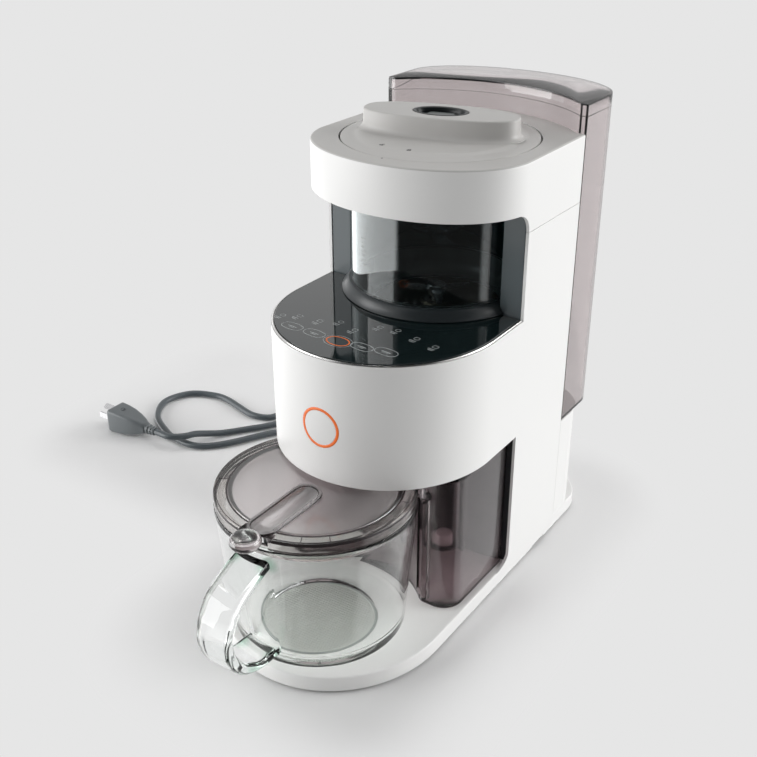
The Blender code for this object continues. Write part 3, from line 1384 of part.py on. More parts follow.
hang(cup_slide, cup)


# Cup lid: a stepped disc with a pour slot under the lever, and a short skirt inside the glass
cup_seat = cup_rim + GAP
cup_lid_top = cup_seat + CUP_LID_HEIGHT
cup_lid_edge = cup_seat + CUP_LID_EDGE_HEIGHT
skirt_radius = CUP_RADIUS - CUP_WALL - CUP_LID_SKIRT_CLEARANCE
cup_lid_origin = (*CUP, cup_seat)
groove_outer = CUP_LID_FACE_RADIUS + CUP_LID_GROOVE_WIDTH
cup_lid = turned("cup_lid", CUP, [
    (groove_outer - CUP_LID_WALL * 2, cup_lid_top - CUP_LID_WALL - CUP_LID_GROOVE_DEPTH),
    (skirt_radius - CUP_LID_WALL, cup_lid_edge - CUP_LID_WALL / 2),
    (skirt_radius - CUP_LID_WALL, cup_seat - CUP_LID_SKIRT_DEPTH),
    (skirt_radius, cup_seat - CUP_LID_SKIRT_DEPTH),
    (skirt_radius, cup_seat),
    (CUP_LID_RADIUS, cup_seat),
    (CUP_LID_RADIUS, cup_lid_edge),
    ((CUP_LID_RADIUS + groove_outer) / 2, cup_lid_top - CUP_LID_GROOVE_DEPTH * 3 / 2),
    (groove_outer, cup_lid_top - CUP_LID_GROOVE_DEPTH),
    (CUP_LID_FACE_RADIUS + CUP_LID_GROOVE_WIDTH / 2, cup_lid_top - CUP_LID_GROOVE_DEPTH * 3 / 2),
    (CUP_LID_FACE_RADIUS, cup_lid_top),
], SMOKE, origin=cup_lid_origin)
slot_line = obround(CUP[0], CUP[1] - POUR_SLOT_BACK, CUP[1] - POUR_SLOT_FRONT, POUR_SLOT_HALF_WIDTH)
cut(cup_lid, prism("tool", slot_line, cup_seat - CUT, cup_lid_top + CUT, WHITE))
thumb_spot = (CUP[0], CUP[1] - THUMB_REACH)
cut(cup_lid, prism(
    "tool", circle(thumb_spot, THUMB_BITE_RADIUS, SMALL_ROUND), cup_seat - GAP / 2, cup_lid_top + CUT, WHITE
))
lever_low = cup_lid_top + GAP
lever_top = lever_low + LEVER_THICKNESS
lever_origin = (CUP[0], CUP[1] - LEVER_HINGE_REACH, lever_low + LEVER_THICKNESS / 2)
lever_line = obround(CUP[0], CUP[1] - LEVER_BACK, CUP[1] - LEVER_FRONT, LEVER_HALF_WIDTH)
lever = prism("cup_lid_lever", lever_line, lever_low, lever_top, SMOKE, origin=lever_origin)
thumb_z = cup_seat + THUMB_RISE
thumb_profile = []
for i in range(9):
    angle = -math.pi / 2 + math.pi * (i + 0.5) / 9
    thumb_profile.append((THUMB_RADIUS * math.cos(angle), thumb_z + THUMB_HALF_HEIGHT * math.sin(angle)))
join(lever, turned("tool", thumb_spot, thumb_profile, SMOKE, steps=32))
cup_lid_turn = joint_empty("cup_lid_axis", cup_lid_origin)
hang(cup_slide, cup_lid_turn)
hang(cup_lid_turn, cup_lid)
lever_hinge = joint_empty("cup_lever_axis", lever_origin)
hang(cup_lid_turn, lever_hinge)
hang(lever_hinge, lever)


# Power cord from the gland, round its loop to the left and back to the plug
gland_tip = Vector((GLAND_X, gland_back + GLAND_LENGTH - GLAND_INNER_LENGTH + GAP, GLAND_HEIGHT))
exit_run = Vector((0.0, CORD_EXIT_RUN, 0.0))
plug_axis = Vector((math.cos(PLUG_TURN), math.sin(PLUG_TURN), 0.0))
plug_entry = Vector(PLUG_ENTRY) + Vector((0.0, BACK, 0.0))
cord_end = plug_entry + plug_axis * GAP
cord_points = [
    gland_tip,
    gland_tip + exit_run / 2,
    gland_tip + exit_run,
    *[Vector((x, BACK + y, z)) for x, y, z in CORD_ROUTE],
    cord_end + plug_axis * CORD_EXIT_RUN,
    cord_end + plug_axis * CORD_EXIT_RUN / 2,
    cord_end,
]
tube("power_cord", smooth_route(cord_points, CORD_STEP), CORD_RADIUS, CORD_GREY)


# Plug: a tapering body with a boot on the cord and three flat pins
plug_frame = Matrix.Translation(plug_entry) @ Matrix.Rotation(PLUG_TURN, 4, "Z")
neck_y = PLUG_HALF_DEPTH * PLUG_NECK_SHARE
neck_z = PLUG_HALF_HEIGHT * PLUG_NECK_SHARE


def plug_section(x, half_y, half_z):
    corner = min(half_y, half_z) / 3
    return [plug_frame @ Vector(point) for point in (
        (x, corner - half_y, -half_z), (x, half_y - corner, -half_z),
        (x, half_y, corner - half_z), (x, half_y, half_z - corner),
        (x, half_y - corner, half_z), (x, corner - half_y, half_z),
        (x, -half_y, half_z - corner), (x, -half_y, corner - half_z),
    )]


stack("plug_body", [
    plug_section(0.0, PLUG_BOOT_RADIUS * 3 / 4, PLUG_BOOT_RADIUS * 3 / 4),
    plug_section(-PLUG_BOOT_LENGTH, PLUG_BOOT_RADIUS, PLUG_BOOT_RADIUS),
    plug_section(-PLUG_BOOT_LENGTH - CHAMFER, neck_y, neck_z),
    plug_section(-PLUG_BOOT_LENGTH - PLUG_LENGTH * 2 / 3, PLUG_HALF_DEPTH, PLUG_HALF_HEIGHT),
    plug_section(-PLUG_BOOT_LENGTH - PLUG_LENGTH + CHAMFER, PLUG_HALF_DEPTH, PLUG_HALF_HEIGHT),
    plug_section(-PLUG_BOOT_LENGTH - PLUG_LENGTH, PLUG_HALF_DEPTH - CHAMFER, PLUG_HALF_HEIGHT - CHAMFER),
], CORD_GREY, smooth=False)
pin_root = -PLUG_BOOT_LENGTH - PLUG_LENGTH - GAP
pin_places = {
    "plug_pin_live": (PIN_LOW / 2, PIN_SPREAD, math.radians(30)),
    "plug_pin_neutral": (PIN_LOW / 2, -PIN_SPREAD, math.radians(-30)),
    "plug_pin_earth": (-PIN_LOW, 0.0, math.radians(90)),
}
for pin_name, (pin_y, pin_z, pin_turn) in pin_places.items():
    loops = []
    for x, share in ((0.0, 1.0), (CHAMFER - PIN_LENGTH, 1.0), (-PIN_LENGTH, 0.6)):
        loop = []
        for a, b in ((-1, -1), (1, -1), (1, 1), (-1, 1)):
            wide = a * PIN_HALF_WIDTH * share
            thick = b * PIN_HALF_THICKNESS
            y = pin_y + wide * math.cos(pin_turn) - thick * math.sin(pin_turn)
            z = pin_z + wide * math.sin(pin_turn) + thick * math.cos(pin_turn)
            loop.append(plug_frame @ Vector((pin_root + x, y, z)))
        loops.append(loop)
    stack(pin_name, loops, STEEL, smooth=False)
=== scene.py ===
"""Looks of a countertop soy milk maker: white housing, glass chamber, glass cup, smoke boxes and cord.

Metres, +Z up. The machine faces -Y, and its pieces are dressed in the order it is put together."""

import math

import bmesh
import bpy
from mathutils import Matrix, Vector


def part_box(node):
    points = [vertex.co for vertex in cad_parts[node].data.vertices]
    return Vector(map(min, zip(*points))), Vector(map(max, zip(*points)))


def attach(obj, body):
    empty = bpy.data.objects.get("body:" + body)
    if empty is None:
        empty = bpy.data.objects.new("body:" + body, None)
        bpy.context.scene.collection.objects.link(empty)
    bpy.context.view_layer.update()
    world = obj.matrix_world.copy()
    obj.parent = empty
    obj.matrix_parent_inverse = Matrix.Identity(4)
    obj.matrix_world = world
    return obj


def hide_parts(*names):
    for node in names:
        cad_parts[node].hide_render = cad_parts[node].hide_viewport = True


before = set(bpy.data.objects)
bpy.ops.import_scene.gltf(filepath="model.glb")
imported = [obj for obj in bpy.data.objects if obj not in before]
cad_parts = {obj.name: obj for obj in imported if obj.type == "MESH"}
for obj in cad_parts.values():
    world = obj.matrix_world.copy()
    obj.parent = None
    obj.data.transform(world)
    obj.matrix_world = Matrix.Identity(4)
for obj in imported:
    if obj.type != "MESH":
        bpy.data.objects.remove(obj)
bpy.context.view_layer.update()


# Camera: a long lens above and to the right of the machine's front. It looks down on the drum, the
# panel and the cup, and the picture is square.
camera_place = Vector((0.42342, -0.63571, 0.58002))
camera_azimuth = math.radians(34.421)
camera_drop = math.radians(27.207)
camera_roll = math.radians(-0.159)
camera_lens_mm = 50.61
camera_sensor_mm = 36.0
sight = Vector((
    -math.sin(camera_azimuth) * math.cos(camera_drop),
    math.cos(camera_azimuth) * math.cos(camera_drop),
    -math.sin(camera_drop),
))
level_right = sight.cross(Vector((0.0, 0.0, 1.0))).normalized()
level_up = level_right.cross(sight)
rolled_right = level_right * math.cos(camera_roll) + level_up * math.sin(camera_roll)
rolled_up = level_up * math.cos(camera_roll) - level_right * math.sin(camera_roll)
camera_data = bpy.data.cameras.new("camera")
camera_data.lens = camera_lens_mm
camera_data.sensor_width = camera_sensor_mm
camera = bpy.data.objects.new("camera", camera_data)
camera_frame = Matrix((rolled_right, rolled_up, -sight)).transposed().to_4x4()
camera_frame.translation = camera_place
camera.matrix_world = camera_frame
bpy.context.scene.collection.objects.link(camera)
bpy.context.scene.camera = camera
bpy.context.scene.view_settings.view_transform = "Standard"


# Studio: a pale table that runs out into a backdrop of the same tone, in a room that is dark in front
# of the machine and bright low at its left. A large soft box stands at the left and one at the right
# behind it, with a weak one high up at the back.
backdrop_tone = 0.791
floor_albedo = 0.93
# The table's darker tone where a shadow is painted in front of the base.
painted_shadow_albedo = 0.75
floor_roughness = 0.9
floor_reach = 7.0
floor_front = 0.41
room_light = 0.20
dark_front = 0.06
bright_left = 2.7
left_span = {"azimuth": -74.0, "edge": 50.0, "soft": 5.0}
front_span = {"azimuth": 34.0, "edge": 57.0, "soft": 4.0}
low_bands = ((0.10, -0.10), (-0.54, -0.44))
soft_boxes = {
    "left_soft_box": {"azimuth": -51.0, "elevation": 12.0, "distance": 4.0, "size": 3.1, "watts": 155.0},
    "right_soft_box": {"azimuth": 124.0, "elevation": 13.0, "distance": 4.0, "size": 2.9, "watts": 151.0},
    "top_soft_box": {"azimuth": 205.0, "elevation": 68.0, "distance": 3.0, "size": 2.4, "watts": 21.0},
}
studio_target = Vector((0.0, 0.0, 0.18))
white = (1.0, 1.0, 1.0, 1.0)


def feed(made, *by_place, **by_name):
    """Give a node's sockets a link or a plain value each, by place or by name."""
    named = [(label.replace("_", " "), source) for label, source in by_name.items()]
    for socket, source in [*enumerate(by_place), *named]:
        if isinstance(source, bpy.types.NodeSocket):
            made.id_data.links.new(source, made.inputs[socket])
        elif source is not None:
            made.inputs[socket].default_value = source


def node(tree, kind, *by_place, **by_name):
    """Add a node to a tree, set it up and feed it, and return its outputs."""
    made = tree.nodes.new(kind)
    for setting in ("operation", "data_type", "interpolation_type", "node_tree"):
        if setting in by_name:
            setattr(made, setting, by_name.pop(setting))
    feed(made, *by_place, **by_name)
    return made.outputs


def reckon(tree, operation, *values):
    """A plain sum's result."""
    return node(tree, "ShaderNodeMath", *values, operation=operation)[0]


def vector(tree, operation, *values):
    """A vector sum's two results: its vector and its number."""
    return node(tree, "ShaderNodeVectorMath", *values, operation=operation)


def fade(tree, value, start, end, **tones):
    """A soft step from one tone to another as the value goes from start to end."""
    return node(
        tree, "ShaderNodeMapRange", Value=value, From_Min=start, From_Max=end,
        interpolation_type="SMOOTHSTEP", **tones,
    )["Result"]


world = bpy.data.worlds.new("studio")
bpy.context.scene.world = world
world.use_nodes = True
air = world.node_tree
air.nodes.remove(air.nodes["Background"])
paths = node(air, "ShaderNodeLightPath")
direction = node(air, "ShaderNodeTexCoord")["Generated"]
heading = vector(air, "NORMALIZE", vector(air, "MULTIPLY", direction, (1.0, 1.0, 0.0))[0])[0]


def room_side(span, tone):
    """Tone of a side of the room, within a span of headings. Elsewhere it is one."""
    turned = math.radians(span["azimuth"])
    facing = vector(air, "DOT_PRODUCT", heading, (math.sin(turned), -math.cos(turned), 0.0))["Value"]
    outside = math.cos(math.radians(span["edge"] + span["soft"]))
    inside = math.cos(math.radians(span["edge"] - span["soft"]))
    return fade(air, facing, outside, inside, To_Min=1.0, To_Max=tone)


height = node(air, "ShaderNodeSeparateXYZ", direction)["Z"]
low_share = reckon(air, "MULTIPLY", *[fade(air, height, *band) for band in low_bands])
low_left = node(air, "ShaderNodeMix", Factor=low_share, A=1.0, B=room_side(left_span, bright_left))["Result"]
side_tone = reckon(air, "MULTIPLY", low_left, room_side(front_span, dark_front))
room = node(air, "ShaderNodeBackground", white, room_light)[0]
mirrored = node(air, "ShaderNodeBackground", white, reckon(air, "MULTIPLY", side_tone, backdrop_tone))[0]
seen = node(air, "ShaderNodeBackground", white, backdrop_tone)[0]
mirrored_inside = reckon(air, "MAXIMUM", paths["Is Glossy Ray"], paths["Is Transmission Ray"])
unmirrored = reckon(air, "LESS_THAN", paths["Glossy Depth"], 0.5)
straight_through = reckon(air, "MULTIPLY", unmirrored, paths["Is Transmission Ray"])
straight = reckon(air, "MAXIMUM", paths["Is Camera Ray"], straight_through)
around = node(air, "ShaderNodeMixShader", mirrored_inside, room, mirrored)[0]
feed(air.nodes["World Output"], Surface=node(air, "ShaderNodeMixShader", straight, around, seen)[0])

for box_name, box in soft_boxes.items():
    lamp_data = bpy.data.lights.new(box_name, "AREA")
    lamp_data.shape = "SQUARE"
    lamp_data.size = box["size"]
    lamp_data.energy = box["watts"]
    lamp = bpy.data.objects.new(box_name, lamp_data)
    lamp.visible_transmission = False
    turn = math.radians(box["azimuth"])
    rise = math.radians(box["elevation"])
    outwards = Vector((
        math.sin(turn) * math.cos(rise), -math.cos(turn) * math.cos(rise), math.sin(rise)
    ))
    lamp.location = studio_target + outwards * box["distance"]
    lamp.rotation_mode = "QUATERNION"
    lamp.rotation_quaternion = outwards.to_track_quat("Z", "Y")
    bpy.context.scene.collection.objects.link(lamp)


def new_finish(name):
    """A material with nodes, its tree and its Principled shader."""
    mat = bpy.data.materials.new(name)
    mat.use_nodes = True
    return mat, mat.node_tree, mat.node_tree.nodes["Principled BSDF"]


floor_mesh = bpy.data.meshes.new("floor")
floor_mesh.from_pydata(
    [(-floor_reach, -floor_front, 0.0), (floor_reach, -floor_front, 0.0),
     (floor_reach, floor_reach, 0.0), (-floor_reach, floor_reach, 0.0)],
    [], [(0, 1, 2, 3)],
)
floor = bpy.data.objects.new("floor", floor_mesh)
bpy.context.scene.collection.objects.link(floor)
floor_mat, ground, paper = new_finish("studio_floor")
floor_spot = node(ground, "ShaderNodeTexCoord")["Object"]


def far_from(middle, half_span, near, far):
    """How far a spot on the table is past a rectangle, from zero up to near to one beyond far."""
    past = vector(ground, "ABSOLUTE", vector(ground, "SUBTRACT", floor_spot, middle)[0])[0]
    past = vector(ground, "MAXIMUM", vector(ground, "SUBTRACT", past, half_span)[0], (0.0, 0.0, 0.0))[0]
    return fade(ground, vector(ground, "LENGTH", past)["Value"], near, far)


base_low, base_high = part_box("base_tray")
# A soft shadow is painted into the table's colour in front of the base, towards its right: the table is
# darker there.
painted_shadow_spot = (0.062, base_low.y + 0.045, 0.0)
painted_shadow_span = (0.02, 0.035, 0.0)
painted_shadow_fade = (0.0, 0.08)
machine_spot = (0.0, 0.02, 0.0)
machine_span = (0.06, 0.16, 0.0)
machine_fade = (0.03, 0.12)
cord_spot = (-0.22, 0.11, 0.0)
cord_span = (0.16, 0.10, 0.0)
cord_fade = (0.0, 0.09)
painted_floor_shadow = node(
    ground, "ShaderNodeMix", data_type="RGBA", Factor=far_from(painted_shadow_spot, painted_shadow_span, *painted_shadow_fade),
    A=(*[painted_shadow_albedo] * 3, 1.0), B=(*[floor_albedo] * 3, 1.0),
)["Result"]
feed(paper, Base_Color=painted_floor_shadow, Roughness=floor_roughness, Specular_IOR_Level=0.0)
further = reckon(
    ground, "MINIMUM", far_from(machine_spot, machine_span, *machine_fade),
    far_from(cord_spot, cord_span, *cord_fade),
)
paper_glow = node(ground, "ShaderNodeEmission", white, backdrop_tone)[0]
floor_mix = node(ground, "ShaderNodeMixShader", further, paper.outputs[0], paper_glow)[0]
glossy_ray = node(ground, "ShaderNodeLightPath")["Is Glossy Ray"]
clear_floor = node(ground, "ShaderNodeBsdfTransparent")[0]
floor_seen = node(ground, "ShaderNodeMixShader", glossy_ray, floor_mix, clear_floor)[0]
feed(ground.nodes["Material Output"], Surface=floor_seen)
floor_mesh.materials.append(floor_mat)


# Power cord: a 7 mm sheath of slate-grey rubber, from the strain relief behind the machine round to
# its left, where it lies in one loop. The sheath is satin, with a fine grain.
def moulded_skin_group():
    """Slow drift of tone and gloss over a moulded surface, and the fine grain of its tool."""
    tree = bpy.data.node_groups.new("moulded_skin", "ShaderNodeTree")
    for label, kind, value in (
        ("Colour", "Color", white), ("Shade", "Color", white), ("Drift Scale", "Float", 9.0),
        ("Roughness", "Float", 0.4), ("Roughness Spread", "Float", 0.05), ("Grain Scale", "Float", 1800.0),
    ):
        socket = tree.interface.new_socket(label, in_out="INPUT", socket_type="NodeSocket" + kind)
        socket.default_value = value
    for label, kind in (("Colour", "Color"), ("Roughness", "Float"), ("Height", "Float")):
        tree.interface.new_socket(label, in_out="OUTPUT", socket_type="NodeSocket" + kind)
    given = node(tree, "NodeGroupInput")
    place = node(tree, "ShaderNodeTexCoord")["Object"]
    drift = node(tree, "ShaderNodeTexNoise", Vector=place, Scale=given["Drift Scale"], Detail=3.0)["Fac"]
    grain = node(tree, "ShaderNodeTexNoise", Vector=place, Scale=given["Grain Scale"], Detail=2.0)["Fac"]
    centred = reckon(tree, "SUBTRACT", drift, 0.5)
    node(
        tree, "NodeGroupOutput", Height=grain,
        Colour=node(
            tree, "ShaderNodeMix", data_type="RGBA", Factor=drift, A=given["Colour"], B=given["Shade"]
        )["Result"],
        Roughness=reckon(tree, "MULTIPLY_ADD", centred, given["Roughness Spread"], given["Roughness"]),
    )
    return tree


moulded_skin = moulded_skin_group()


def moulded(name, colour, shade, roughness, spread=0.06, grain_scale=1800.0, grain_depth=0.00001, **sockets):
    """A moulded plastic or rubber: the skin group feeds the Principled shader and a fine bump."""
    mat, tree, shader = new_finish(name)
    skin = node(
        tree, "ShaderNodeGroup", node_tree=moulded_skin, Colour=(*colour, 1.0), Shade=(*shade, 1.0),
        Roughness=roughness, Roughness_Spread=spread, Grain_Scale=grain_scale,
    )
    bump = node(tree, "ShaderNodeBump", Strength=0.35, Distance=grain_depth, Height=skin["Height"])[0]
    feed(shader, Base_Color=skin["Colour"], Roughness=skin["Roughness"], Normal=bump, **sockets)
    return mat


def show(name, data, mats=()):
    """A new object with its finishes, in the scene at the origin."""
    for mat in mats:
        data.materials.append(mat)
    piece = bpy.data.objects.new(name, data)
    bpy.context.scene.collection.objects.link(piece)
    return piece


cord_rubber = moulded(
    "cord_rubber", (0.062, 0.077, 0.086), (0.085, 0.100, 0.108), 0.38, 0.12, 900.0, 0.00003
)


def smooth_route(points, step):
    """A smooth curve through the points, read off at even steps, with both ends kept."""
    points = [Vector(p) for p in points]
    padded = [points[0] * 2 - points[1], *points, points[-1] * 2 - points[-2]]
    fine = []
    for i in range(1, len(padded) - 2):
        p0, p1, p2, p3 = padded[i - 1:i + 3]
        for k in range(24):
            t = k / 24
            fine.append(
                (p1 * 2 + (p2 - p0) * t + (p0 * 2 - p1 * 5 + p2 * 4 - p3) * t**2
                 + (p1 * 3 - p0 - p2 * 3 + p3) * t**3) / 2
            )
    fine.append(points[-1])
    length = sum((b - a).length for a, b in zip(fine, fine[1:]))
    count = max(2, round(length / step))
    even = [fine[0]]
    run = 0.0
    for a, b in zip(fine, fine[1:]):
        span = (b - a).length
        while span > 0 and run + span >= length / count * len(even) and len(even) < count:
            even.append(a.lerp(b, (length / count * len(even) - run) / span))
        run += span
    even.append(fine[-1])
    return even


cord_diameter = 0.007
gland_low, gland_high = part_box("cord_gland")
gland_middle = (gland_low + gland_high) / 2
fit_gap = 0.0003
cord_exit = Vector((gland_middle.x, gland_high.y + fit_gap, gland_middle.z))
side_wall_back = 0.13275
exit_run = Vector((0.0, 0.017, 0.0))
cord_route = (
    (-0.0400, 0.1180, 0.0270), (-0.0640, 0.1330, 0.0130), (-0.1000, 0.1390, 0.0045),
    (-0.1500, 0.1350, 0.0036), (-0.2000, 0.1120, 0.0036), (-0.2350, 0.0700, 0.0036),
    (-0.2500, 0.0350, 0.0036), (-0.2560, 0.0120, 0.0036), (-0.2760, 0.0050, 0.0036),
    (-0.2990, 0.0100, 0.0036), (-0.3220, 0.0160, 0.0036), (-0.3420, 0.0160, 0.0036),
    (-0.3690, 0.0030, 0.0036), (-0.3790, -0.0270, 0.0036), (-0.3610, -0.0570, 0.0036),
    (-0.3300, -0.0750, 0.0036), (-0.3140, -0.0800, 0.0036), (-0.2830, -0.0800, 0.0036),
    (-0.2600, -0.0600, 0.0036), (-0.2320, -0.0130, 0.0036), (-0.2000, 0.0250, 0.0036),
    (-0.1720, 0.0480, 0.0036), (-0.1600, 0.0720, 0.0036), (-0.1740, 0.0930, 0.0036),
    (-0.1960, 0.0880, 0.0036), (-0.2160, 0.0550, 0.0036), (-0.2430, 0.0020, 0.0036),
    (-0.2600, -0.0220, 0.0036), (-0.2770, -0.0440, 0.0038), (-0.2850, -0.0580, 0.0072),
    (-0.2905, -0.0710, 0.0112), (-0.2945, -0.0825, 0.0127), (-0.3010, -0.0905, 0.0135),
)
plug_entry = Vector((-0.3260, -0.0940 + side_wall_back, 0.0135))
cord_end = plug_entry + Vector((fit_gap, 0.0, 0.0))
plug_run = Vector((0.017, 0.0, 0.0))
cord_points = smooth_route([
    cord_exit,
    cord_exit + exit_run / 2,
    cord_exit + exit_run,
    *[Vector((x, side_wall_back + y, z)) for x, y, z in cord_route],
    cord_end + plug_run,
    cord_end + plug_run / 2,
    cord_end,
], 0.004)
cord_curve = bpy.data.curves.new("cord_sheath", "CURVE")
cord_curve.dimensions = "3D"
cord_curve.bevel_depth = cord_diameter / 2
cord_curve.bevel_resolution = 5
cord_curve.resolution_u = 1
cord_curve.use_fill_caps = True
cord_spline = cord_curve.splines.new("POLY")
cord_spline.points.add(len(cord_points) - 1)
for knot, point in zip(cord_spline.points, cord_points):
    knot.co = (*point, 1.0)
cord_spline.use_smooth = True
cord_sheath = show("cord_sheath", cord_curve, [cord_rubber])
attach(cord_sheath, "machine")
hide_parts("power_cord")


# Plug: a grey body that flares from the cord to a flat face with three steel pins. It is moulded
# over the cord's end, with a ribbed boot and a round ejector mark on its broad side.
def smooth(piece, sharp):
    """Shade a piece smooth, but for edges sharper than an angle in degrees."""
    piece.data.shade_smooth()
    piece.data.set_sharp_from_angle(angle=math.radians(sharp))


def loft(name, loops, mats, closed=False, sharp=28.0):
    """A solid skinned over loops of equal count. A closed one joins its last loop to its first."""
    form = bmesh.new()
    rows = [[form.verts.new(point) for point in loop] for loop in loops]
    pairs = list(zip(rows, rows[1:]))
    if closed:
        pairs.append((rows[-1], rows[0]))
    count = len(rows[0])
    for low, high in pairs:
        for i in range(count):
            j = (i + 1) % count
            form.faces.new((low[i], low[j], high[j], high[i]))
    if not closed:
        form.faces.new(list(reversed(rows[0])))
        form.faces.new(rows[-1])
    bmesh.ops.recalc_face_normals(form, faces=form.faces)
    mesh = bpy.data.meshes.new(name)
    form.to_mesh(mesh)
    form.free()
    piece = show(name, mesh, mats if isinstance(mats, (list, tuple)) else [mats])
    smooth(piece, sharp)
    return piece


def rounded_section(half_wide, half_thick, corner, steps):
    """A rounded rectangle about its middle, as pairs of distances across it and through it."""
    points = []
    for quarter, (side_wide, side_thick) in enumerate(((1, 1), (-1, 1), (-1, -1), (1, -1))):
        for k in range(steps + 1):
            angle = math.pi / 2 * (quarter + k / steps)
            points.append((
                side_wide * (half_wide - corner) + corner * math.cos(angle),
                side_thick * (half_thick - corner) + corner * math.sin(angle),
            ))
    return points


plug_stations = [
    (0.0, 0.0042, 0.0042, 0.0041), (-0.0012, 0.0046, 0.0046, 0.0045), (-0.0022, 0.0040, 0.0040, 0.0039),
    (-0.0036, 0.0040, 0.0040, 0.0039), (-0.0044, 0.0050, 0.0050, 0.0049), (-0.0056, 0.0050, 0.0050, 0.0049),
    (-0.0064, 0.0043, 0.0043, 0.0042), (-0.0078, 0.0043, 0.0043, 0.0042), (-0.0086, 0.0055, 0.0055, 0.0053),
    (-0.0100, 0.0056, 0.0056, 0.0054), (-0.0108, 0.0048, 0.0048, 0.0046), (-0.0122, 0.0048, 0.0048, 0.0046),
    (-0.0130, 0.0060, 0.0060, 0.0056), (-0.0158, 0.0066, 0.0068, 0.0056), (-0.0200, 0.0080, 0.0084, 0.0050),
    (-0.0280, 0.0098, 0.0103, 0.0042), (-0.0380, 0.0114, 0.0119, 0.0036), (-0.0480, 0.0122, 0.0127, 0.0032),
    (-0.0570, 0.0125, 0.0130, 0.0030), (-0.0588, 0.0124, 0.0129, 0.0030), (-0.0596, 0.0120, 0.0125, 0.0028),
    (-0.0600, 0.0112, 0.0117, 0.0025),
]
plug_loops = [
    [plug_entry + Vector((x, y, z)) for y, z in rounded_section(half_y, half_z, corner, 6)]
    for x, half_y, half_z, corner in plug_stations
]
plug_shell = loft(
    "plug_shell", plug_loops,
    moulded("plug_vinyl", (0.115, 0.130, 0.138), (0.145, 0.160, 0.166), 0.42, 0.10, 700.0, 0.00004),
    sharp=40.0,
)
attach(plug_shell, "machine")
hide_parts("plug_body")
mark_centre = plug_entry + Vector((-0.047, 0.0, 0.0128))
mark_profile = (
    (0.0001, -0.0004), (0.0016, -0.0004), (0.0021, 0.0000), (0.0024, 0.0003), (0.0029, -0.0002),
)
mark_steps = 28
mark_turns = [math.tau * k / mark_steps for k in range(mark_steps)]
mark_loops = [
    [mark_centre + Vector((radius * math.cos(turn), radius * math.sin(turn), rise)) for turn in mark_turns]
    for radius, rise in mark_profile
]
plug_mark = loft(
    "plug_mark", mark_loops, moulded("plug_mark_vinyl", (0.05, 0.06, 0.065), (0.06, 0.07, 0.075), 0.5)
)
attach(plug_mark, "machine")


def steel(name, colour, roughness, spread=0.10, stretch=(40.0, 40.0, 900.0), depth=0.000004):
    """Brushed steel: noise drawn out along one axis drives the gloss and a very fine bump."""
    mat, tree, shader = new_finish(name)
    place = node(tree, "ShaderNodeTexCoord")["Object"]
    drawn = node(tree, "ShaderNodeMapping", Vector=place, Scale=stretch)[0]
    brush = node(tree, "ShaderNodeTexNoise", Vector=drawn, Scale=1.0, Detail=4.0)["Fac"]
    darker = [channel * 0.86 for channel in colour]
    tone = node(
        tree, "ShaderNodeMix", data_type="RGBA", Factor=brush, A=(*darker, 1.0), B=(*colour, 1.0)
    )["Result"]
    gloss = node(
        tree, "ShaderNodeMapRange", Value=brush, To_Min=roughness - spread / 2, To_Max=roughness + spread / 2
    )["Result"]
    bump = node(tree, "ShaderNodeBump", Distance=depth, Height=brush)[0]
    feed(shader, Base_Color=tone, Metallic=1.0, Roughness=gloss, Normal=bump)
    return mat


def dress(mat, *node_names):
    """Give CAD nodes a finish."""
    for node_name in node_names:
        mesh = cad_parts[node_name].data
        mesh.materials.clear()
        mesh.materials.append(mat)


dress(steel("pin_steel", (0.66, 0.66, 0.67), 0.28, 0.12, (900.0, 60.0, 60.0)),
      "plug_pin_live", "plug_pin_neutral", "plug_pin_earth")
gland_rubber = moulded(
    "gland_rubber", (0.070, 0.082, 0.090), (0.090, 0.100, 0.108), 0.45, 0.1, 900.0, 0.00003
)
dress(gland_rubber, "cord_gland")


# Housing: the white base, side walls, back and drum read as one satin moulding with soft edges. The
# drum's front is open underneath over the cup, and the side walls run out into the base in a curve.
def front_curve(half, front_y, depth, steps=96):
    """The half ellipse that closes a level in front, from its left side round to its right side."""
    points = []
    for i in range(steps + 1):
        angle = math.pi + math.pi * i / steps
        points.append((half * math.cos(angle), front_y + depth + depth * math.sin(angle)))
    return points


def rear_curve(half, rear_y, depth, steps=96):
    """The half ellipse that closes a level behind, from its right side round to its left side."""
    points = []
    for i in range(steps + 1):
        angle = math.pi * i / steps
        points.append((half * math.cos(angle), rear_y - depth + depth * math.sin(angle)))
    return points


def swung(centre, reach, turn):
    """The spot at a reach from a centre, on a heading."""
    return (centre[0] + reach * math.cos(turn), centre[1] + reach * math.sin(turn))


def arc(centre, radius, start, end, steps):
    """Points along a circle from one angle to another, ends included."""
    return [swung(centre, radius, start + (end - start) * i / steps) for i in range(steps + 1)]


def back_arc(radius, back_y, steps=72):
    """The convex back between the side walls' back edges, from the right edge to the left one."""
    angle = math.asin((back_y - back_arc_centre) / radius)
    return arc((0.0, back_arc_centre), radius, angle, math.pi - angle, steps)


def inset(outline, distance):
    """The outline moved inwards by a distance, with the same number of points."""
    count = len(outline)
    moved = []
    for i in range(count):
        here = Vector(outline[i])
        before = (here - Vector(outline[i - 1])).normalized()
        after = (Vector(outline[(i + 1) % count]) - here).normalized()
        normal_before = Vector((-before.y, before.x))
        normal_after = Vector((-after.y, after.x))
        bisector = (normal_before + normal_after).normalized()
        moved.append(tuple(here + bisector * distance / bisector.dot(normal_before)))
    return moved


def at(outline, z):
    """The outline raised to a height."""
    return [(x, y, z) for x, y in outline]


def paint(piece, slot, covers):
    """Give the faces that a test picks, by place and facing, the finish in a slot."""
    for face in piece.data.polygons:
        if covers(face.center, face.normal):
            face.material_index = slot


def quarter_turn(steps):
    """Sine and cosine at even steps over a quarter of a turn, ends included."""
    angles = [math.pi / 2 * k / steps for k in range(steps + 1)]
    return [(math.sin(angle), math.cos(angle)) for angle in angles]


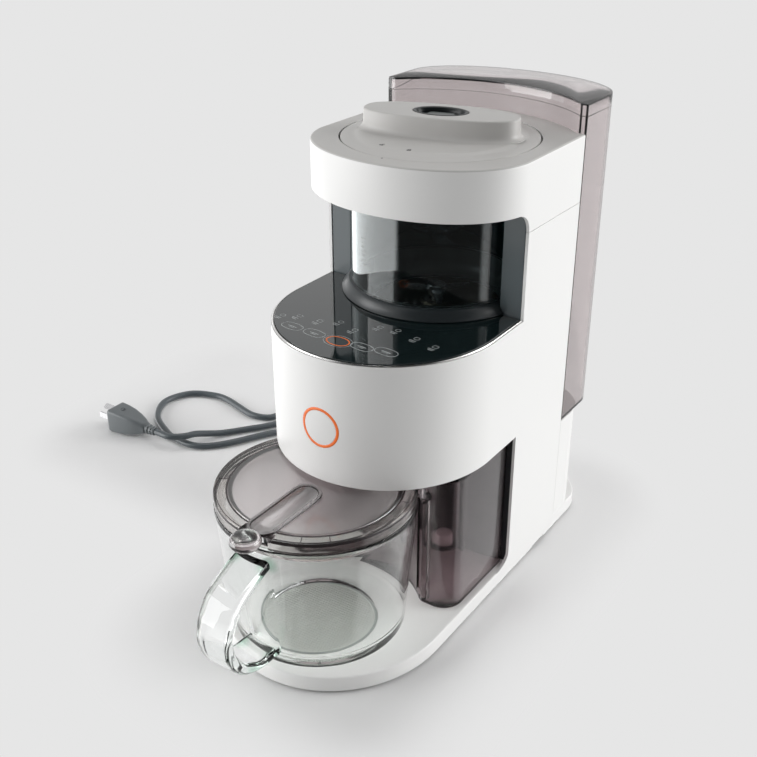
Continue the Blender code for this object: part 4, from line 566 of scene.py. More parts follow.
def middle(low, high):
    """The centre of a box, seen from above."""
    return ((low.x + high.x) / 2, (low.y + high.y) / 2)


def pillow(name, outline, low, high, low_round, high_round, mats, steps=5):
    """An upright solid over an outline, with its lower and upper edges rounded."""
    turns = quarter_turn(steps) if low_round > 0 else [(1.0, 1.0)]
    loops = [
        at(inset(outline, low_round * (1 - sine)), low + low_round * (1 - cosine))
        for sine, cosine in turns
    ]
    turns = quarter_turn(steps) if high_round > 0 else [(1.0, 1.0)]
    loops += [
        at(inset(outline, high_round * (1 - cosine)), high - high_round * (1 - sine))
        for sine, cosine in turns
    ]
    return loft(name, loops, mats)


def shape(obj, tool, operation):
    """Cut the tool from the piece, or join it on, and then put the tool away."""
    modifier = obj.modifiers.new("shape", "BOOLEAN")
    modifier.operation = operation
    modifier.solver = "EXACT"
    modifier.object = tool
    bpy.context.view_layer.update()
    evaluated = obj.evaluated_get(bpy.context.evaluated_depsgraph_get())
    mesh = bpy.data.meshes.new_from_object(evaluated)
    kept = list(obj.data.materials)
    slots = [face.material_index for face in mesh.polygons]
    obj.modifiers.remove(modifier)
    obj.data = mesh
    mesh.materials.clear()
    for mat in kept:
        mesh.materials.append(mat)
    for face, slot in zip(mesh.polygons, slots):
        face.material_index = min(slot, max(len(kept) - 1, 0))
    bpy.data.objects.remove(tool)


def finish_edges(obj, width, segments=3, angle=35.0):
    """Tidy a cut piece's flat faces, round its sharp edges and shade it smooth."""
    form = bmesh.new()
    form.from_mesh(obj.data)
    bmesh.ops.remove_doubles(form, verts=form.verts, dist=0.00001)
    bmesh.ops.dissolve_limit(
        form, angle_limit=math.radians(0.5), verts=form.verts, edges=form.edges, delimit={"MATERIAL"}
    )
    for face in form.faces:
        face.smooth = True
    form.to_mesh(obj.data)
    form.free()
    bevel = obj.modifiers.new("soft_edges", "BEVEL")
    bevel.width = width
    bevel.segments = segments
    bevel.limit_method = "ANGLE"
    bevel.angle_limit = math.radians(angle)
    bevel.harden_normals = True


def circle(centre, radius, steps=96):
    """A closed circle, without its first point repeated."""
    return arc(centre, radius, 0.0, math.tau, steps)[:-1]


def prism(name, outline, low, high, mats=()):
    """An upright solid with straight sides."""
    return loft(name, [at(outline, low), at(outline, high)], list(mats))


def across(name, outline_yz, left, right):
    """A bar along X whose section is given in Y and Z."""
    return loft(name, [[(x, y, z) for y, z in outline_yz] for x in (left, right)], [])


def lathe(name, centre, profile, mats, closed=True, steps=128, sharp=28.0):
    """A turned piece about an upright axis, from radius and height pairs."""
    return loft(name, [at(circle(centre, radius, steps), z) for radius, z in profile], mats, closed, sharp)


half = base_high.x
back_arc_rise = 0.034
back_arc_half = half * 0.9265
back_arc_radius = (back_arc_half**2 + back_arc_rise**2) / (2 * back_arc_rise)
back_arc_centre = side_wall_back + back_arc_rise - back_arc_radius
column_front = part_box("column_shell")[0].y + 0.019
base_curve_depth = 0.0993
rear_curve_depth = 0.0505
drum_low, drum_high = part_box("drum_shell")
drum_curve_depth = 0.0949
shell_wall = 0.0025
side_plane_overlap = 0.003
toe_length = 0.019
toe_height = 0.010
seam_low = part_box("column_shell")[1].z
cut_over = 0.005
white_satin = moulded(
    "white_satin", (0.855, 0.855, 0.845), (0.835, 0.832, 0.822), 0.36, 0.05, 2400.0, 0.000006,
    Specular_IOR_Level=0.32, Coat_Weight=0.06, Coat_Roughness=0.22,
)

base_outline = [
    *front_curve(half, base_low.y, base_curve_depth),
    *rear_curve(half, base_high.y, rear_curve_depth),
]
housing = pillow("housing", base_outline, base_low.z, base_high.z, 0.0012, 0.0014, white_satin)
inner_back = back_arc(back_arc_radius - shell_wall, side_wall_back - shell_wall)
column_outline = [
    (half, column_front), (half, side_wall_back), *back_arc(back_arc_radius, side_wall_back),
    (-half, side_wall_back), (-half, column_front), (shell_wall - half, column_front),
    (shell_wall - half, side_wall_back - shell_wall), *reversed(inner_back),
    (half - shell_wall, side_wall_back - shell_wall), (half - shell_wall, column_front),
]
shape(housing, prism("tool", column_outline, base_high.z - side_plane_overlap, seam_low), "UNION")
toe_curve = [
    (column_front - toe_length * (1 - sine), base_high.z + toe_height * (1 - cosine))
    for sine, cosine in quarter_turn(16)
]
toe_outline = [
    *toe_curve, (column_front + shell_wall, base_high.z + toe_height),
    (column_front + shell_wall, base_high.z - side_plane_overlap),
    (column_front - toe_length, base_high.z - side_plane_overlap),
]
for left_x, right_x in ((-half, shell_wall - half), (half - shell_wall, half)):
    shape(housing, across("tool", toe_outline, left_x, right_x), "UNION")
drum_outline = [
    *front_curve(half, drum_low.y, drum_curve_depth), (half, column_front + shell_wall),
    (-half, column_front + shell_wall),
]
drum = prism("drum", drum_outline, drum_low.z, drum_high.z)
drum_inner = [
    *front_curve(half - shell_wall, drum_low.y + shell_wall, drum_curve_depth - shell_wall),
    (half - shell_wall, column_front + cut_over), (shell_wall - half, column_front + cut_over),
]
shape(drum, prism("tool", drum_inner, drum_low.z + shell_wall, drum_high.z + cut_over), "DIFFERENCE")
nozzle_low, nozzle_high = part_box("spout_nozzle")
nozzle_hole_radius = 0.0083
nozzle_hole = circle(middle(nozzle_low, nozzle_high), nozzle_hole_radius, 48)
shape(drum, prism("tool", nozzle_hole, drum_low.z - cut_over, drum_low.z + cut_over), "DIFFERENCE")
shape(housing, drum, "UNION")
ring_low, ring_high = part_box("light_ring")
ring_centre_z = (ring_low.z + ring_high.z) / 2
ring_outer = (ring_high.z - ring_low.z) / 2
ring_width = 0.0021
ring_depth = 0.0010


def drum_face(x):
    """How far forward the drum's front stands at a distance from its middle."""
    return drum_low.y + drum_curve_depth * (1 - math.sqrt(1 - (x / half) ** 2))


def ring_on_drum(name, inner, outer, proud, depth, mats, crown=0.0, steps=96):
    """A ring that lies in the drum's curved front, between two depths from its surface."""
    loops = []
    for i in range(steps):
        angle = math.tau * i / steps
        loop = []
        section = (
            (inner, -proud), (inner * 0.85 + outer * 0.15, -proud - crown),
            ((inner + outer) / 2, -proud - crown), (inner * 0.15 + outer * 0.85, -proud - crown),
            (outer, -proud), (outer, depth), (inner, depth),
        )
        for radius, sunk in section:
            x = radius * math.cos(angle)
            loop.append((x, drum_face(x) + sunk, ring_centre_z + radius * math.sin(angle)))
        loops.append(loop)
    return loft(name, loops, mats, closed=True)


ring_seam = 0.0002
ring_bed = 0.0013
shape(housing, ring_on_drum(
    "tool", ring_outer - ring_width - ring_seam, ring_outer + ring_seam, cut_over, ring_bed, []
), "DIFFERENCE")
notch_front = side_wall_back - 0.040
notch_back = side_wall_back - 0.018
notch_height = 0.0022
notch_inwards = 0.006
for left_x, right_x in ((-half - cut_over, notch_inwards - half), (half - notch_inwards, half + cut_over)):
    notch_outline = [
        (notch_front, base_low.z - cut_over), (notch_back, base_low.z - cut_over),
        (notch_back, base_low.z + notch_height), (notch_front, base_low.z + notch_height),
    ]
    shape(housing, across("tool", notch_outline, left_x, right_x), "DIFFERENCE")
tray_rim_width = 0.0045
tray_sunk = 0.0004
bay_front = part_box("bay_wall")[0].y
tray_outline = [
    *front_curve(half - tray_rim_width, base_low.y + tray_rim_width, base_curve_depth - tray_rim_width),
    (half - tray_rim_width, bay_front), (tray_rim_width - half, bay_front),
]
shape(housing, prism(
    "tool", tray_outline, base_high.z - tray_sunk, base_high.z + toe_height / 4
), "DIFFERENCE")
pad_low, pad_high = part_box("cup_pad")
pad_centre = middle(pad_low, pad_high)
pad_radius = (pad_high.x - pad_low.x) / 2
shape(housing, prism(
    "tool", circle(pad_centre, pad_radius + fit_gap, 144), pad_low.z - fit_gap, base_high.z + cut_over
), "DIFFERENCE")
finish_edges(housing, 0.0006)
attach(housing, "machine")
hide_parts("base_tray", "column_shell", "drum_shell")


# Light ring: an orange light guide let into the drum's front. It glows faintly, and its face stands
# a hair proud of the white shell.
glow_orange = moulded(
    "glow_orange", (0.78, 0.155, 0.024), (0.82, 0.18, 0.032), 0.35, 0.05,
    Emission_Color=(1.0, 0.17, 0.02, 1.0), Emission_Strength=0.12,
)
ring_crown = 0.00015
light_guide = ring_on_drum(
    "light_guide", ring_outer - ring_width, ring_outer, 0.0, ring_depth, glow_orange, ring_crown
)
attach(light_guide, "machine")
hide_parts("light_ring")


# Feet and bottom pan: four black rubber discs under a grey moulded pan. The pan closes the base
# underneath.
dress(moulded("foot_rubber", (0.020, 0.020, 0.021), (0.034, 0.034, 0.034), 0.72, 0.1, 1200.0, 0.00004),
      "foot_front_left", "foot_front_right", "foot_rear_left", "foot_rear_right")
pan_plastic = moulded("pan_plastic", (0.20, 0.205, 0.21), (0.24, 0.245, 0.25), 0.55, 0.1, 900.0, 0.00004)
dress(pan_plastic, "base_pan")


# Control panel: a black glass-like plate on top of the drum, bitten out round the chamber, with a
# bright line of trim round its curved edge.
def bitten_plate(plate_half, front_y, depth, back_y, bite_radius):
    """A level's front with a straight back edge, and a round bite in that edge for the chamber."""
    reach = math.sqrt(bite_radius**2 - (back_y - chamber[1]) ** 2)
    angle = math.atan2(back_y - chamber[1], reach)
    bite = arc(chamber, bite_radius, angle, -math.pi - angle, 96)
    return [*front_curve(plate_half, front_y, depth), (plate_half, back_y), *bite, (-plate_half, back_y)]


glass_low, glass_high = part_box("chamber_glass")
chamber = middle(glass_low, glass_high)
glass_radius = (glass_high.x - glass_low.x) / 2
panel_low, panel_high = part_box("control_panel")
panel_gloss = moulded(
    "panel_gloss", (0.006, 0.0125, 0.0135), (0.008, 0.015, 0.016), 0.035, 0.01, 300.0, 0.000001,
    Coat_Weight=0.5, Coat_Roughness=0.02,
)
panel_inset = half - panel_high.x
panel_plate = prism("panel_plate", bitten_plate(
    half - panel_inset, panel_low.y, drum_curve_depth - panel_inset, panel_high.y, glass_radius + shell_wall
), panel_low.z, panel_high.z, [panel_gloss])
finish_edges(panel_plate, 0.00035)
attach(panel_plate, "machine")
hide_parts("control_panel")

trim_low, trim_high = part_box("panel_rim")
trim_inset = half - trim_high.x
trim_width = 0.0013
trim_silver = steel("trim_silver", (0.74, 0.73, 0.72), 0.20, 0.06, (300.0, 300.0, 300.0))
trim_loops = []
for distance, z in (
    (0.0, trim_low.z), (0.0, trim_high.z - 0.0005), (0.0004, trim_high.z),
    (trim_width - 0.0003, trim_high.z), (trim_width, trim_high.z - 0.0003), (trim_width, trim_low.z),
):
    line_half = half - trim_inset - distance
    line = front_curve(line_half, trim_low.y + distance, drum_curve_depth - trim_inset - distance)
    trim_loops.append(at([(-line_half, trim_high.y), *line, (line_half, trim_high.y)], z))
trim_rows = [list(row) for row in zip(*trim_loops)]
panel_trim = loft("panel_trim", trim_rows, trim_silver)
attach(panel_trim, "machine")
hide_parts("panel_rim")


# Bay wall and the wall behind the chamber: the lower one is black plastic, and the upper one is a
# glossy slate moulding, recessed round the chamber. The recess's curved wall is painted near black as shade.
slate_gloss = moulded(
    "slate_gloss", (0.088, 0.105, 0.113), (0.098, 0.117, 0.125), 0.24, 0.06, 1500.0, 0.000008
)
bay_black = moulded("bay_black", (0.020, 0.022, 0.024), (0.026, 0.028, 0.030), 0.35, 0.06, 1500.0, 0.000008)
dress(bay_black, "bay_wall")
wall_low, wall_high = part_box("chamber_backdrop")
recess_radius = 0.0742
recess_wall = 0.002
recess_start = math.asin((wall_low.y - chamber[1]) / recess_radius)
outer_start = math.asin((wall_low.y + recess_wall - chamber[1]) / (recess_radius + recess_wall))
recess_outline = [
    (wall_high.x, wall_low.y), (wall_high.x, wall_low.y + recess_wall),
    *arc(chamber, recess_radius + recess_wall, outer_start, math.pi - outer_start, 96),
    (wall_low.x, wall_low.y + recess_wall), (wall_low.x, wall_low.y),
    *arc(chamber, recess_radius, math.pi - recess_start, recess_start, 96),
]
# The recess's curved wall takes a near-black copy of the slate as painted shade.
slate_painted_shade = moulded(
    "slate_painted_shade", (0.006, 0.011, 0.012), (0.008, 0.014, 0.015), 0.34, 0.02, 40.0, 0.0000005,
    Specular_IOR_Level=0.03,
)
recess = prism("chamber_recess", recess_outline, wall_low.z, wall_high.z, [slate_gloss, slate_painted_shade])
finish_edges(recess, 0.0009)
paint(recess, 1, lambda spot, facing: spot.y > wall_low.y + 0.001 and abs(facing.z) < 0.5)
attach(recess, "machine")
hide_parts("chamber_backdrop")
dress(bay_black, "head_underplate")


# Chamber: a dark bowl with a steel floor under a clear glass cylinder, and a soft dark ring round
# its foot. The ring is cut off by the wall behind.
bowl_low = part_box("chamber_pan")[0]
bowl_bore = 0.0055
bowl_wall = 0.0015
glass_wall = 0.003
foot_low, foot_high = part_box("chamber_foot_ring")
bowl_radius = glass_radius - glass_wall - fit_gap
bowl_top = foot_high.z + 0.0008
bowl_turn = 0.014
floor_radius = bowl_radius - bowl_turn
inner_turn = bowl_turn - bowl_wall
bowl_floor_z = bowl_low.z + bowl_wall
bowl_turns = quarter_turn(8)
bowl_profile = [
    (bowl_bore, bowl_low.z), (floor_radius, bowl_low.z),
    *[(floor_radius + bowl_turn * sine, bowl_low.z + bowl_turn * (1 - cosine))
      for sine, cosine in bowl_turns],
    (bowl_radius, bowl_top), (bowl_radius - bowl_wall, bowl_top),
    *[(floor_radius + inner_turn * sine, bowl_floor_z + inner_turn * (1 - cosine))
      for sine, cosine in reversed(bowl_turns)],
    (bowl_bore, bowl_floor_z),
]
bowl_dark = moulded("bowl_dark", (0.016, 0.020, 0.022), (0.030, 0.030, 0.028), 0.16, 0.05, 800.0, 0.00001)
bowl = lathe("chamber_bowl", chamber, bowl_profile, bowl_dark)
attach(bowl, "machine")
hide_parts("chamber_pan")

# The steel floor's colour is a dark brown that paints in the dim brownish reflection it shows in the
# chamber.
bowl_floor = lathe("bowl_floor", chamber, [
    (bowl_bore + 0.0004, bowl_floor_z + 0.0001), (floor_radius - 0.001, bowl_floor_z + 0.0001),
    (floor_radius, bowl_floor_z + 0.0005), (floor_radius - 0.0012, bowl_floor_z + 0.0008),
    (floor_radius - 0.008, bowl_floor_z + 0.0007), (floor_radius - 0.009, bowl_floor_z + 0.0011),
    (0.014, bowl_floor_z + 0.0011), (0.012, bowl_floor_z + 0.0028),
    (bowl_bore + 0.0004, bowl_floor_z + 0.0028),
], steel("bowl_steel_painted_reflection", (0.15, 0.125, 0.095), 0.30, 0.06, (90.0, 90.0, 40.0), 0.0000005))
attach(bowl_floor, "machine")


def clear(name, tint, roughness, absorbed, density, shadow_tint, bending=1.48, **sockets):
    """Glass or clear plastic. It takes up colour with depth, and lets most light through its shadow."""
    mat, tree, shader = new_finish(name)
    place = node(tree, "ShaderNodeTexCoord")["Object"]
    haze = node(tree, "ShaderNodeTexNoise", Vector=place, Scale=40.0, Detail=2.0)["Fac"]
    gloss = node(tree, "ShaderNodeMapRange", Value=haze, To_Min=roughness, To_Max=roughness * 1.6)["Result"]
    feed(shader, Base_Color=(*tint, 1.0), Transmission_Weight=1.0, Roughness=gloss, IOR=bending, **sockets)
    shadow_ray = node(tree, "ShaderNodeLightPath")["Is Shadow Ray"]
    let_through = node(tree, "ShaderNodeBsdfTransparent", (*shadow_tint, 1.0))[0]
    depth_tint = node(tree, "ShaderNodeVolumeAbsorption", Color=(*absorbed, 1.0), Density=density)[0]
    mixed = node(tree, "ShaderNodeMixShader", shadow_ray, shader.outputs[0], let_through)[0]
    feed(tree.nodes["Material Output"], Surface=mixed, Volume=depth_tint)
    return mat


chamber_clear = clear(
    "chamber_clear", (0.85, 0.94, 0.955), 0.0, (0.7, 0.9, 0.85), 8.0, (0.70, 0.72, 0.72), bending=1.7
)
glass_round = 0.0006
glass_foot = foot_high.z - 0.0022
glass_bore = glass_radius - glass_wall
cylinder = lathe("chamber_cylinder", chamber, [
    (glass_radius - glass_round, glass_foot), (glass_radius, glass_foot + glass_round),
    (glass_radius, glass_high.z), (glass_bore, glass_high.z), (glass_bore, glass_foot + glass_round),
    (glass_bore + glass_round, glass_foot),
], chamber_clear, steps=160)
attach(cylinder, "machine")
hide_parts("chamber_glass")

foot_outer = foot_high.x + 0.0026
ring_hole = glass_radius + fit_gap
foot_soft = moulded("foot_soft", (0.017, 0.022, 0.025), (0.024, 0.030, 0.033), 0.30, 0.08, 1500.0, 0.000012)
foot_ring = lathe("foot_ring", chamber, [
    (foot_outer - 0.0004, foot_low.z), (foot_outer, foot_low.z + 0.0004), (foot_outer, foot_low.z + 0.0010),
    (foot_outer - 0.0006, foot_low.z + 0.0016), (foot_outer - 0.0013, foot_low.z + 0.0024),
    (foot_outer - 0.0026, foot_low.z + 0.0042), (foot_outer - 0.0042, foot_high.z - 0.0024),
    (foot_outer - 0.0056, foot_high.z - 0.0010), (foot_outer - 0.0068, foot_high.z - 0.0002),
    (foot_outer - 0.0078, foot_high.z), (ring_hole + 0.0014, foot_high.z - 0.0004),
    (ring_hole + 0.0006, foot_high.z - 0.0012), (ring_hole, foot_high.z - 0.0022), (ring_hole, foot_low.z),
], foot_soft, steps=160)
cut_radius = recess_radius - fit_gap
cut_y = wall_low.y - fit_gap
cut_start = math.asin((cut_y - chamber[1]) / cut_radius)
cut_far = foot_outer + cut_over
shape(foot_ring, prism("tool", [
    (cut_far, cut_y), (cut_far, chamber[1] + cut_far), (-cut_far, chamber[1] + cut_far), (-cut_far, cut_y),
    *arc(chamber, cut_radius, math.pi - cut_start, cut_start, 96),
], foot_low.z - cut_over, foot_high.z + cut_over), "DIFFERENCE")
smooth(foot_ring, 32.0)
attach(foot_ring, "machine")
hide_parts("chamber_foot_ring")


# Blade and rotor: ground steel. The blade's hub is on the end of the motor's shaft, which comes up
# through a hole in the bowl.
dress(steel("blade_steel", (0.62, 0.62, 0.63), 0.22, 0.1, (500.0, 500.0, 500.0)), "blade", "motor_rotor")


# Head: a white band whose satin top is a warmer grey, with a round well for the lid. A fine seam
# parts it from the side walls below.
head_low, head_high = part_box("head_shell")
head_curve_depth = 0.0673
head_round = 0.0021
head_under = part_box("head_underplate")[0].z - fit_gap
warm_satin = moulded(
    "warm_satin", (0.505, 0.497, 0.482), (0.525, 0.515, 0.500), 0.42, 0.05, 2600.0, 0.000012,
)
head_outline = [
    *front_curve(half, head_low.y, head_curve_depth), (half, side_wall_back),
    *back_arc(back_arc_radius, side_wall_back), (-half, side_wall_back),
]
head_finishes = [white_satin, warm_satin]
head = pillow("head_cap", head_outline, head_low.z, head_high.z, 0.0, head_round, head_finishes, 7)
fillet_front = column_front - (head_under - head_low.z)
fillet_curve = [
    (fillet_front + (column_front - fillet_front) * sine, head_low.z + (head_under - head_low.z) * cosine)
    for sine, cosine in quarter_turn(16)
]
under_head = [
    (head_low.y - cut_over, head_low.z - cut_over), (head_low.y - cut_over, head_under),
    *fillet_curve, (column_front, head_low.z - cut_over),
]
shape(head, across("tool", under_head, -half - cut_over, half + cut_over), "DIFFERENCE")
head_inner = [
    *front_curve(half - shell_wall, head_low.y + shell_wall, head_curve_depth - shell_wall),
    (half - shell_wall, side_wall_back - shell_wall), *inner_back,
    (shell_wall - half, side_wall_back - shell_wall),
]
shape(head, prism("tool", head_inner, head_low.z - cut_over, head_high.z - shell_wall), "DIFFERENCE")
lid_low, lid_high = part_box("chamber_lid")
lid_radius = (lid_high.x - lid_low.x) / 2
lid_groove = 0.0011
lid_well = circle(chamber, lid_radius + lid_groove, 160)
shape(head, prism("tool", lid_well, head_high.z - cut_over, head_high.z + cut_over), "DIFFERENCE")
finish_edges(head, 0.0005)
paint(head, 1, lambda spot, facing: facing.z > 0.35 and spot.z > head_high.z - head_round)
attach(head, "machine")
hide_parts("head_shell")
# The throat seen down the lid's groove is painted dark grey as the groove's shade.
dress(moulded("throat_painted_shade", (0.10, 0.10, 0.10), (0.13, 0.13, 0.13), 0.5), "chamber_throat")


# Lid: a warm-grey disc that rises in a soft step to a broad oval grip, turned a little on the
# machine. A black oval collar sits in the grip's top, round a dark vent floor with a small raised pad.
def superellipse(centre, half_length, half_width, power, turn, steps=120):
    """A rounded oblong, turned about its centre."""
    points = []
    for i in range(steps):
        angle = math.tau * i / steps
        c, s = math.cos(angle), math.sin(angle)
        x = half_length * math.copysign(abs(c) ** (2 / power), c)
        y = half_width * math.copysign(abs(s) ** (2 / power), s)
        points.append((
            centre[0] + x * math.cos(turn) - y * math.sin(turn),
            centre[1] + x * math.sin(turn) + y * math.cos(turn),
        ))
    return points


grip_turn = math.radians(12.5)
grip_half_length = 0.063
grip_half_width = 0.0245
grip_power = 2.45
grip_top = lid_high.z
lid_rise = 0.0025
disc_top = head_high.z + lid_rise
disc_profile = [
    (0.0001, lid_low.z + 0.004), (lid_radius - shell_wall, lid_low.z + 0.004),
    (lid_radius - shell_wall, lid_low.z), (lid_radius, lid_low.z), (lid_radius, head_high.z - 0.0009),
    (lid_radius - 0.0003, head_high.z - 0.0003), (lid_radius - 0.0010, head_high.z),
    (0.0700, head_high.z + 0.0004), (0.0672, head_high.z + 0.0008), (0.0655, head_high.z + 0.0014),
    (0.0642, head_high.z + 0.0020), (0.0625, disc_top - 0.0001), (0.0600, disc_top), (0.0001, disc_top),
]
lid_shell = lathe("lid_shell", chamber, disc_profile, warm_satin, closed=False, steps=160)


vent_half_length = 0.0225
vent_half_width = 0.0150
vent_power = 2.0


def grip_line(distance):
    """The grip's outline, moved inwards by a distance."""
    return superellipse(
        chamber, grip_half_length - distance, grip_half_width - distance, grip_power, grip_turn
    )


def vent_line(distance):
    """The vent's outline, moved inwards by a distance."""
    return superellipse(
        chamber, vent_half_length - distance, vent_half_width - distance, vent_power, grip_turn
    )


grip_flare = 0.0045
grip_round = 0.0016
grip_lean = 0.0003
vent_seam = 0.0002
vent_depth = 0.0055
grip_loops = [
    at(grip_line(-grip_flare), disc_top - 0.0006),
    *[at(grip_line(-grip_flare * (1 - sine)), disc_top + 0.00005 + grip_flare * (1 - cosine))
      for sine, cosine in quarter_turn(8)],
    *[at(grip_line(grip_lean + grip_round * (1 - cosine)), grip_top - grip_round * (1 - sine))
      for sine, cosine in quarter_turn(6)],
    at(vent_line(-vent_seam), grip_top), at(vent_line(-vent_seam), grip_top - vent_depth),
]
grip = loft("lid_grip", grip_loops, warm_satin, sharp=35.0)
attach(lid_shell, "lid_outer")
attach(grip, "lid_outer")
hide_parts("chamber_lid")

vent_black = moulded(
    "vent_black", (0.008, 0.011, 0.012), (0.012, 0.015, 0.016), 0.30, 0.04, 900.0, 0.000004,
    Specular_IOR_Level=0.2,
)
collar_profile = (
    (0.0, -0.0048), (0.0, -0.0002), (0.0003, 0.0002), (0.0008, 0.0003), (0.0022, 0.0002), (0.0030, -0.0002),
    (0.0038, -0.0016), (0.0044, -0.0030), (0.0044, -0.0048),
)
collar_loops = [at(vent_line(distance), grip_top + rise) for distance, rise in collar_profile]
vent_collar = loft("vent_collar", collar_loops, vent_black, closed=True)
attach(vent_collar, "lid_outer")
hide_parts("vent_bezel")
vent_floor_inset = 0.0045
vent_floor_low = grip_top - 0.0046
vent_floor_high = grip_top - 0.0036
vent_pad_high = grip_top - 0.0022
vent_pad_half_length = 0.0105
vent_pad_half_width = 0.0058
vent_pad_power = 5.0
vent_pad_round = 0.0004
vent_floor = pillow(
    "vent_floor", vent_line(vent_floor_inset), vent_floor_low, vent_floor_high, 0.0, 0.0003,
    moulded("vent_floor_grey", (0.012, 0.015, 0.015), (0.018, 0.021, 0.021), 0.4),
)
vent_pad_line = superellipse(
    chamber, vent_pad_half_length, vent_pad_half_width, vent_pad_power, grip_turn
)
vent_pad = pillow(
    "vent_pad", vent_pad_line, vent_floor_high, vent_pad_high, vent_pad_round, vent_pad_round,
    moulded("vent_pad_grey", (0.060, 0.072, 0.070), (0.080, 0.094, 0.090), 0.3),
)
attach(vent_pad, "lid_outer")
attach(vent_floor, "lid_outer")
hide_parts("vent_insert")


# Inner lid, seal and the parts inside the housing: plain mouldings and hoses, two lacquered boards and
# the motor's steel case. The motor and the valve hang under the plate that carries the works, and the
# pump and the power board stand on the base's floor.
seal_cream = moulded("seal_cream", (0.72, 0.72, 0.69), (0.78, 0.78, 0.75), 0.5)
dress(seal_cream, "inner_lid", "spout_nozzle", "discharge_pipe")
dress(moulded("seal_rubber", (0.03, 0.03, 0.03), (0.04, 0.04, 0.04), 0.7), "inner_lid_seal")
works_grey = moulded("works_grey", (0.30, 0.31, 0.32), (0.35, 0.36, 0.37), 0.5)
dress(works_grey, "chassis_plate", "discharge_valve", "tank_socket", "water_pump", "tank_hose", "water_pipe",
      "tank_valve")
dress(steel("motor_steel", (0.60, 0.60, 0.61), 0.35, 0.1, (60.0, 60.0, 1200.0)), "motor_case")
dress(moulded("board_lacquer", (0.03, 0.17, 0.075), (0.05, 0.24, 0.11), 0.35, 0.1, 400.0, 0.00006),
      "control_board", "power_board")


# Back cover: a white moulding behind the column, below the tank. Its top is the ledge that the tank
# stands on, with the socket for the tank's valve in it.
dress(white_satin, "rear_cover")


# Water tank: a smoke-grey crescent vessel and its lid, with a black band along the lid's upper front
# edge. It stands on the back cover's ledge.
tank_low, tank_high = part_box("water_tank")
tank_wall = 0.0025
slide_gap = 0.001
smoke = clear("smoke", (0.80, 0.765, 0.765), 0.05, (0.5, 0.42, 0.43), 60.0, (0.78, 0.76, 0.76))
tank_front = back_arc(back_arc_radius + slide_gap, side_wall_back + slide_gap)
tank_outline = [
    (half, side_wall_back + slide_gap), *rear_curve(half, tank_high.y, rear_curve_depth),
    (-half, side_wall_back + slide_gap), *reversed(tank_front),
]
tank_inner = inset(tank_outline, tank_wall)
tank_vessel = loft("tank_vessel", [
    at(inset(tank_outline, 0.0008), tank_low.z), at(tank_outline, tank_low.z + 0.0008),
    at(tank_outline, tank_high.z), at(tank_inner, tank_high.z), at(tank_inner, tank_low.z + tank_wall),
], smoke)
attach(tank_vessel, "tank")
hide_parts("water_tank")
cap_edge_black = moulded(
    "cap_edge_black", (0.014, 0.014, 0.016), (0.022, 0.022, 0.024), 0.30, 0.06, 700.0, 0.000004
)
cap_low, cap_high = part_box("tank_lid")
cap_wall = 0.0024
tank_cap = loft("tank_cap", [
    at(inset(tank_outline, cap_wall), cap_high.z - cap_wall), at(inset(tank_outline, cap_wall), cap_low.z),
    at(tank_outline, cap_low.z), at(tank_outline, cap_high.z - 0.0010),
    at(inset(tank_outline, 0.0003), cap_high.z - 0.0003), at(inset(tank_outline, 0.0010), cap_high.z),
], [smoke, cap_edge_black])
# The cap's rounded upper front edge is coloured black.
paint(tank_cap, 1, lambda spot, facing: (
    spot.z > cap_high.z - 0.0010 and facing.y < -0.15 and facing.z < 0.97
))
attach(tank_cap, "tank_cover")
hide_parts("tank_lid")


# Waste water box: a smoke box hollowed round the cup, with rounded horns, finger grips down them and
# a flat cover that carries the float's well.
waste_low, waste_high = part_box("waste_box")
lidded_low, lidded_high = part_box("waste_box_cover")
cup_lid_low, cup_lid_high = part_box("cup_lid")
cup_centre = middle(cup_lid_low, cup_lid_high)
smoke_box = clear("smoke_box", (0.80, 0.745, 0.755), 0.06, (0.5, 0.42, 0.44), 45.0, (0.80, 0.77, 0.78))
hollow_radius = 0.0815
horn_radius = 0.018
box_wall = 0.0025
nose_radius = 0.010
horn_front = cup_centre[1] + 0.055
nose_y = horn_front + nose_radius
nose_reach = math.sqrt((hollow_radius + nose_radius) ** 2 - (nose_y - cup_centre[1]) ** 2)
hollow_angle = math.atan2(nose_y - cup_centre[1], nose_reach)
horn_x = waste_high.x - horn_radius
back_corner = 0.003
box_outline = [
    *arc((waste_high.x - back_corner, waste_high.y - back_corner), back_corner, 0.0, math.pi / 2, 8),
    *arc((back_corner - waste_high.x, waste_high.y - back_corner), back_corner, math.pi / 2, math.pi, 8),
    *arc((-horn_x, horn_front + horn_radius), horn_radius, math.pi, math.pi * 3 / 2, 24),
    *arc((cup_centre[0] - nose_reach, nose_y), nose_radius, -math.pi / 2, -hollow_angle, 24)[:-1],
    *arc(cup_centre, hollow_radius, math.pi - hollow_angle, hollow_angle, 96),
    *arc((cup_centre[0] + nose_reach, nose_y), nose_radius, math.pi + hollow_angle, math.pi * 3 / 2, 24)[1:],
    *arc((horn_x, horn_front + horn_radius), horn_radius, -math.pi / 2, 0.0, 24),
]
foot_band = 0.0024
tub_loops = [
    at(inset(box_outline, 0.0012), waste_low.z), at(inset(box_outline, 0.0003), waste_low.z + 0.0004),
    at(box_outline, waste_low.z + foot_band), at(box_outline, waste_high.z),
    at(inset(box_outline, box_wall), waste_high.z), at(inset(box_outline, box_wall), waste_low.z + box_wall),
]
# A dark opaque finish, painted as shade on the smoke parts' edges and walls.
smoke_edge_painted_shade = moulded("smoke_edge_painted_shade", (0.022, 0.017, 0.018), (0.034, 0.027, 0.028), 0.22, 0.06, 700.0, 0.000004)
tub = loft("waste_tub", tub_loops, [smoke_box, smoke_edge_painted_shade])
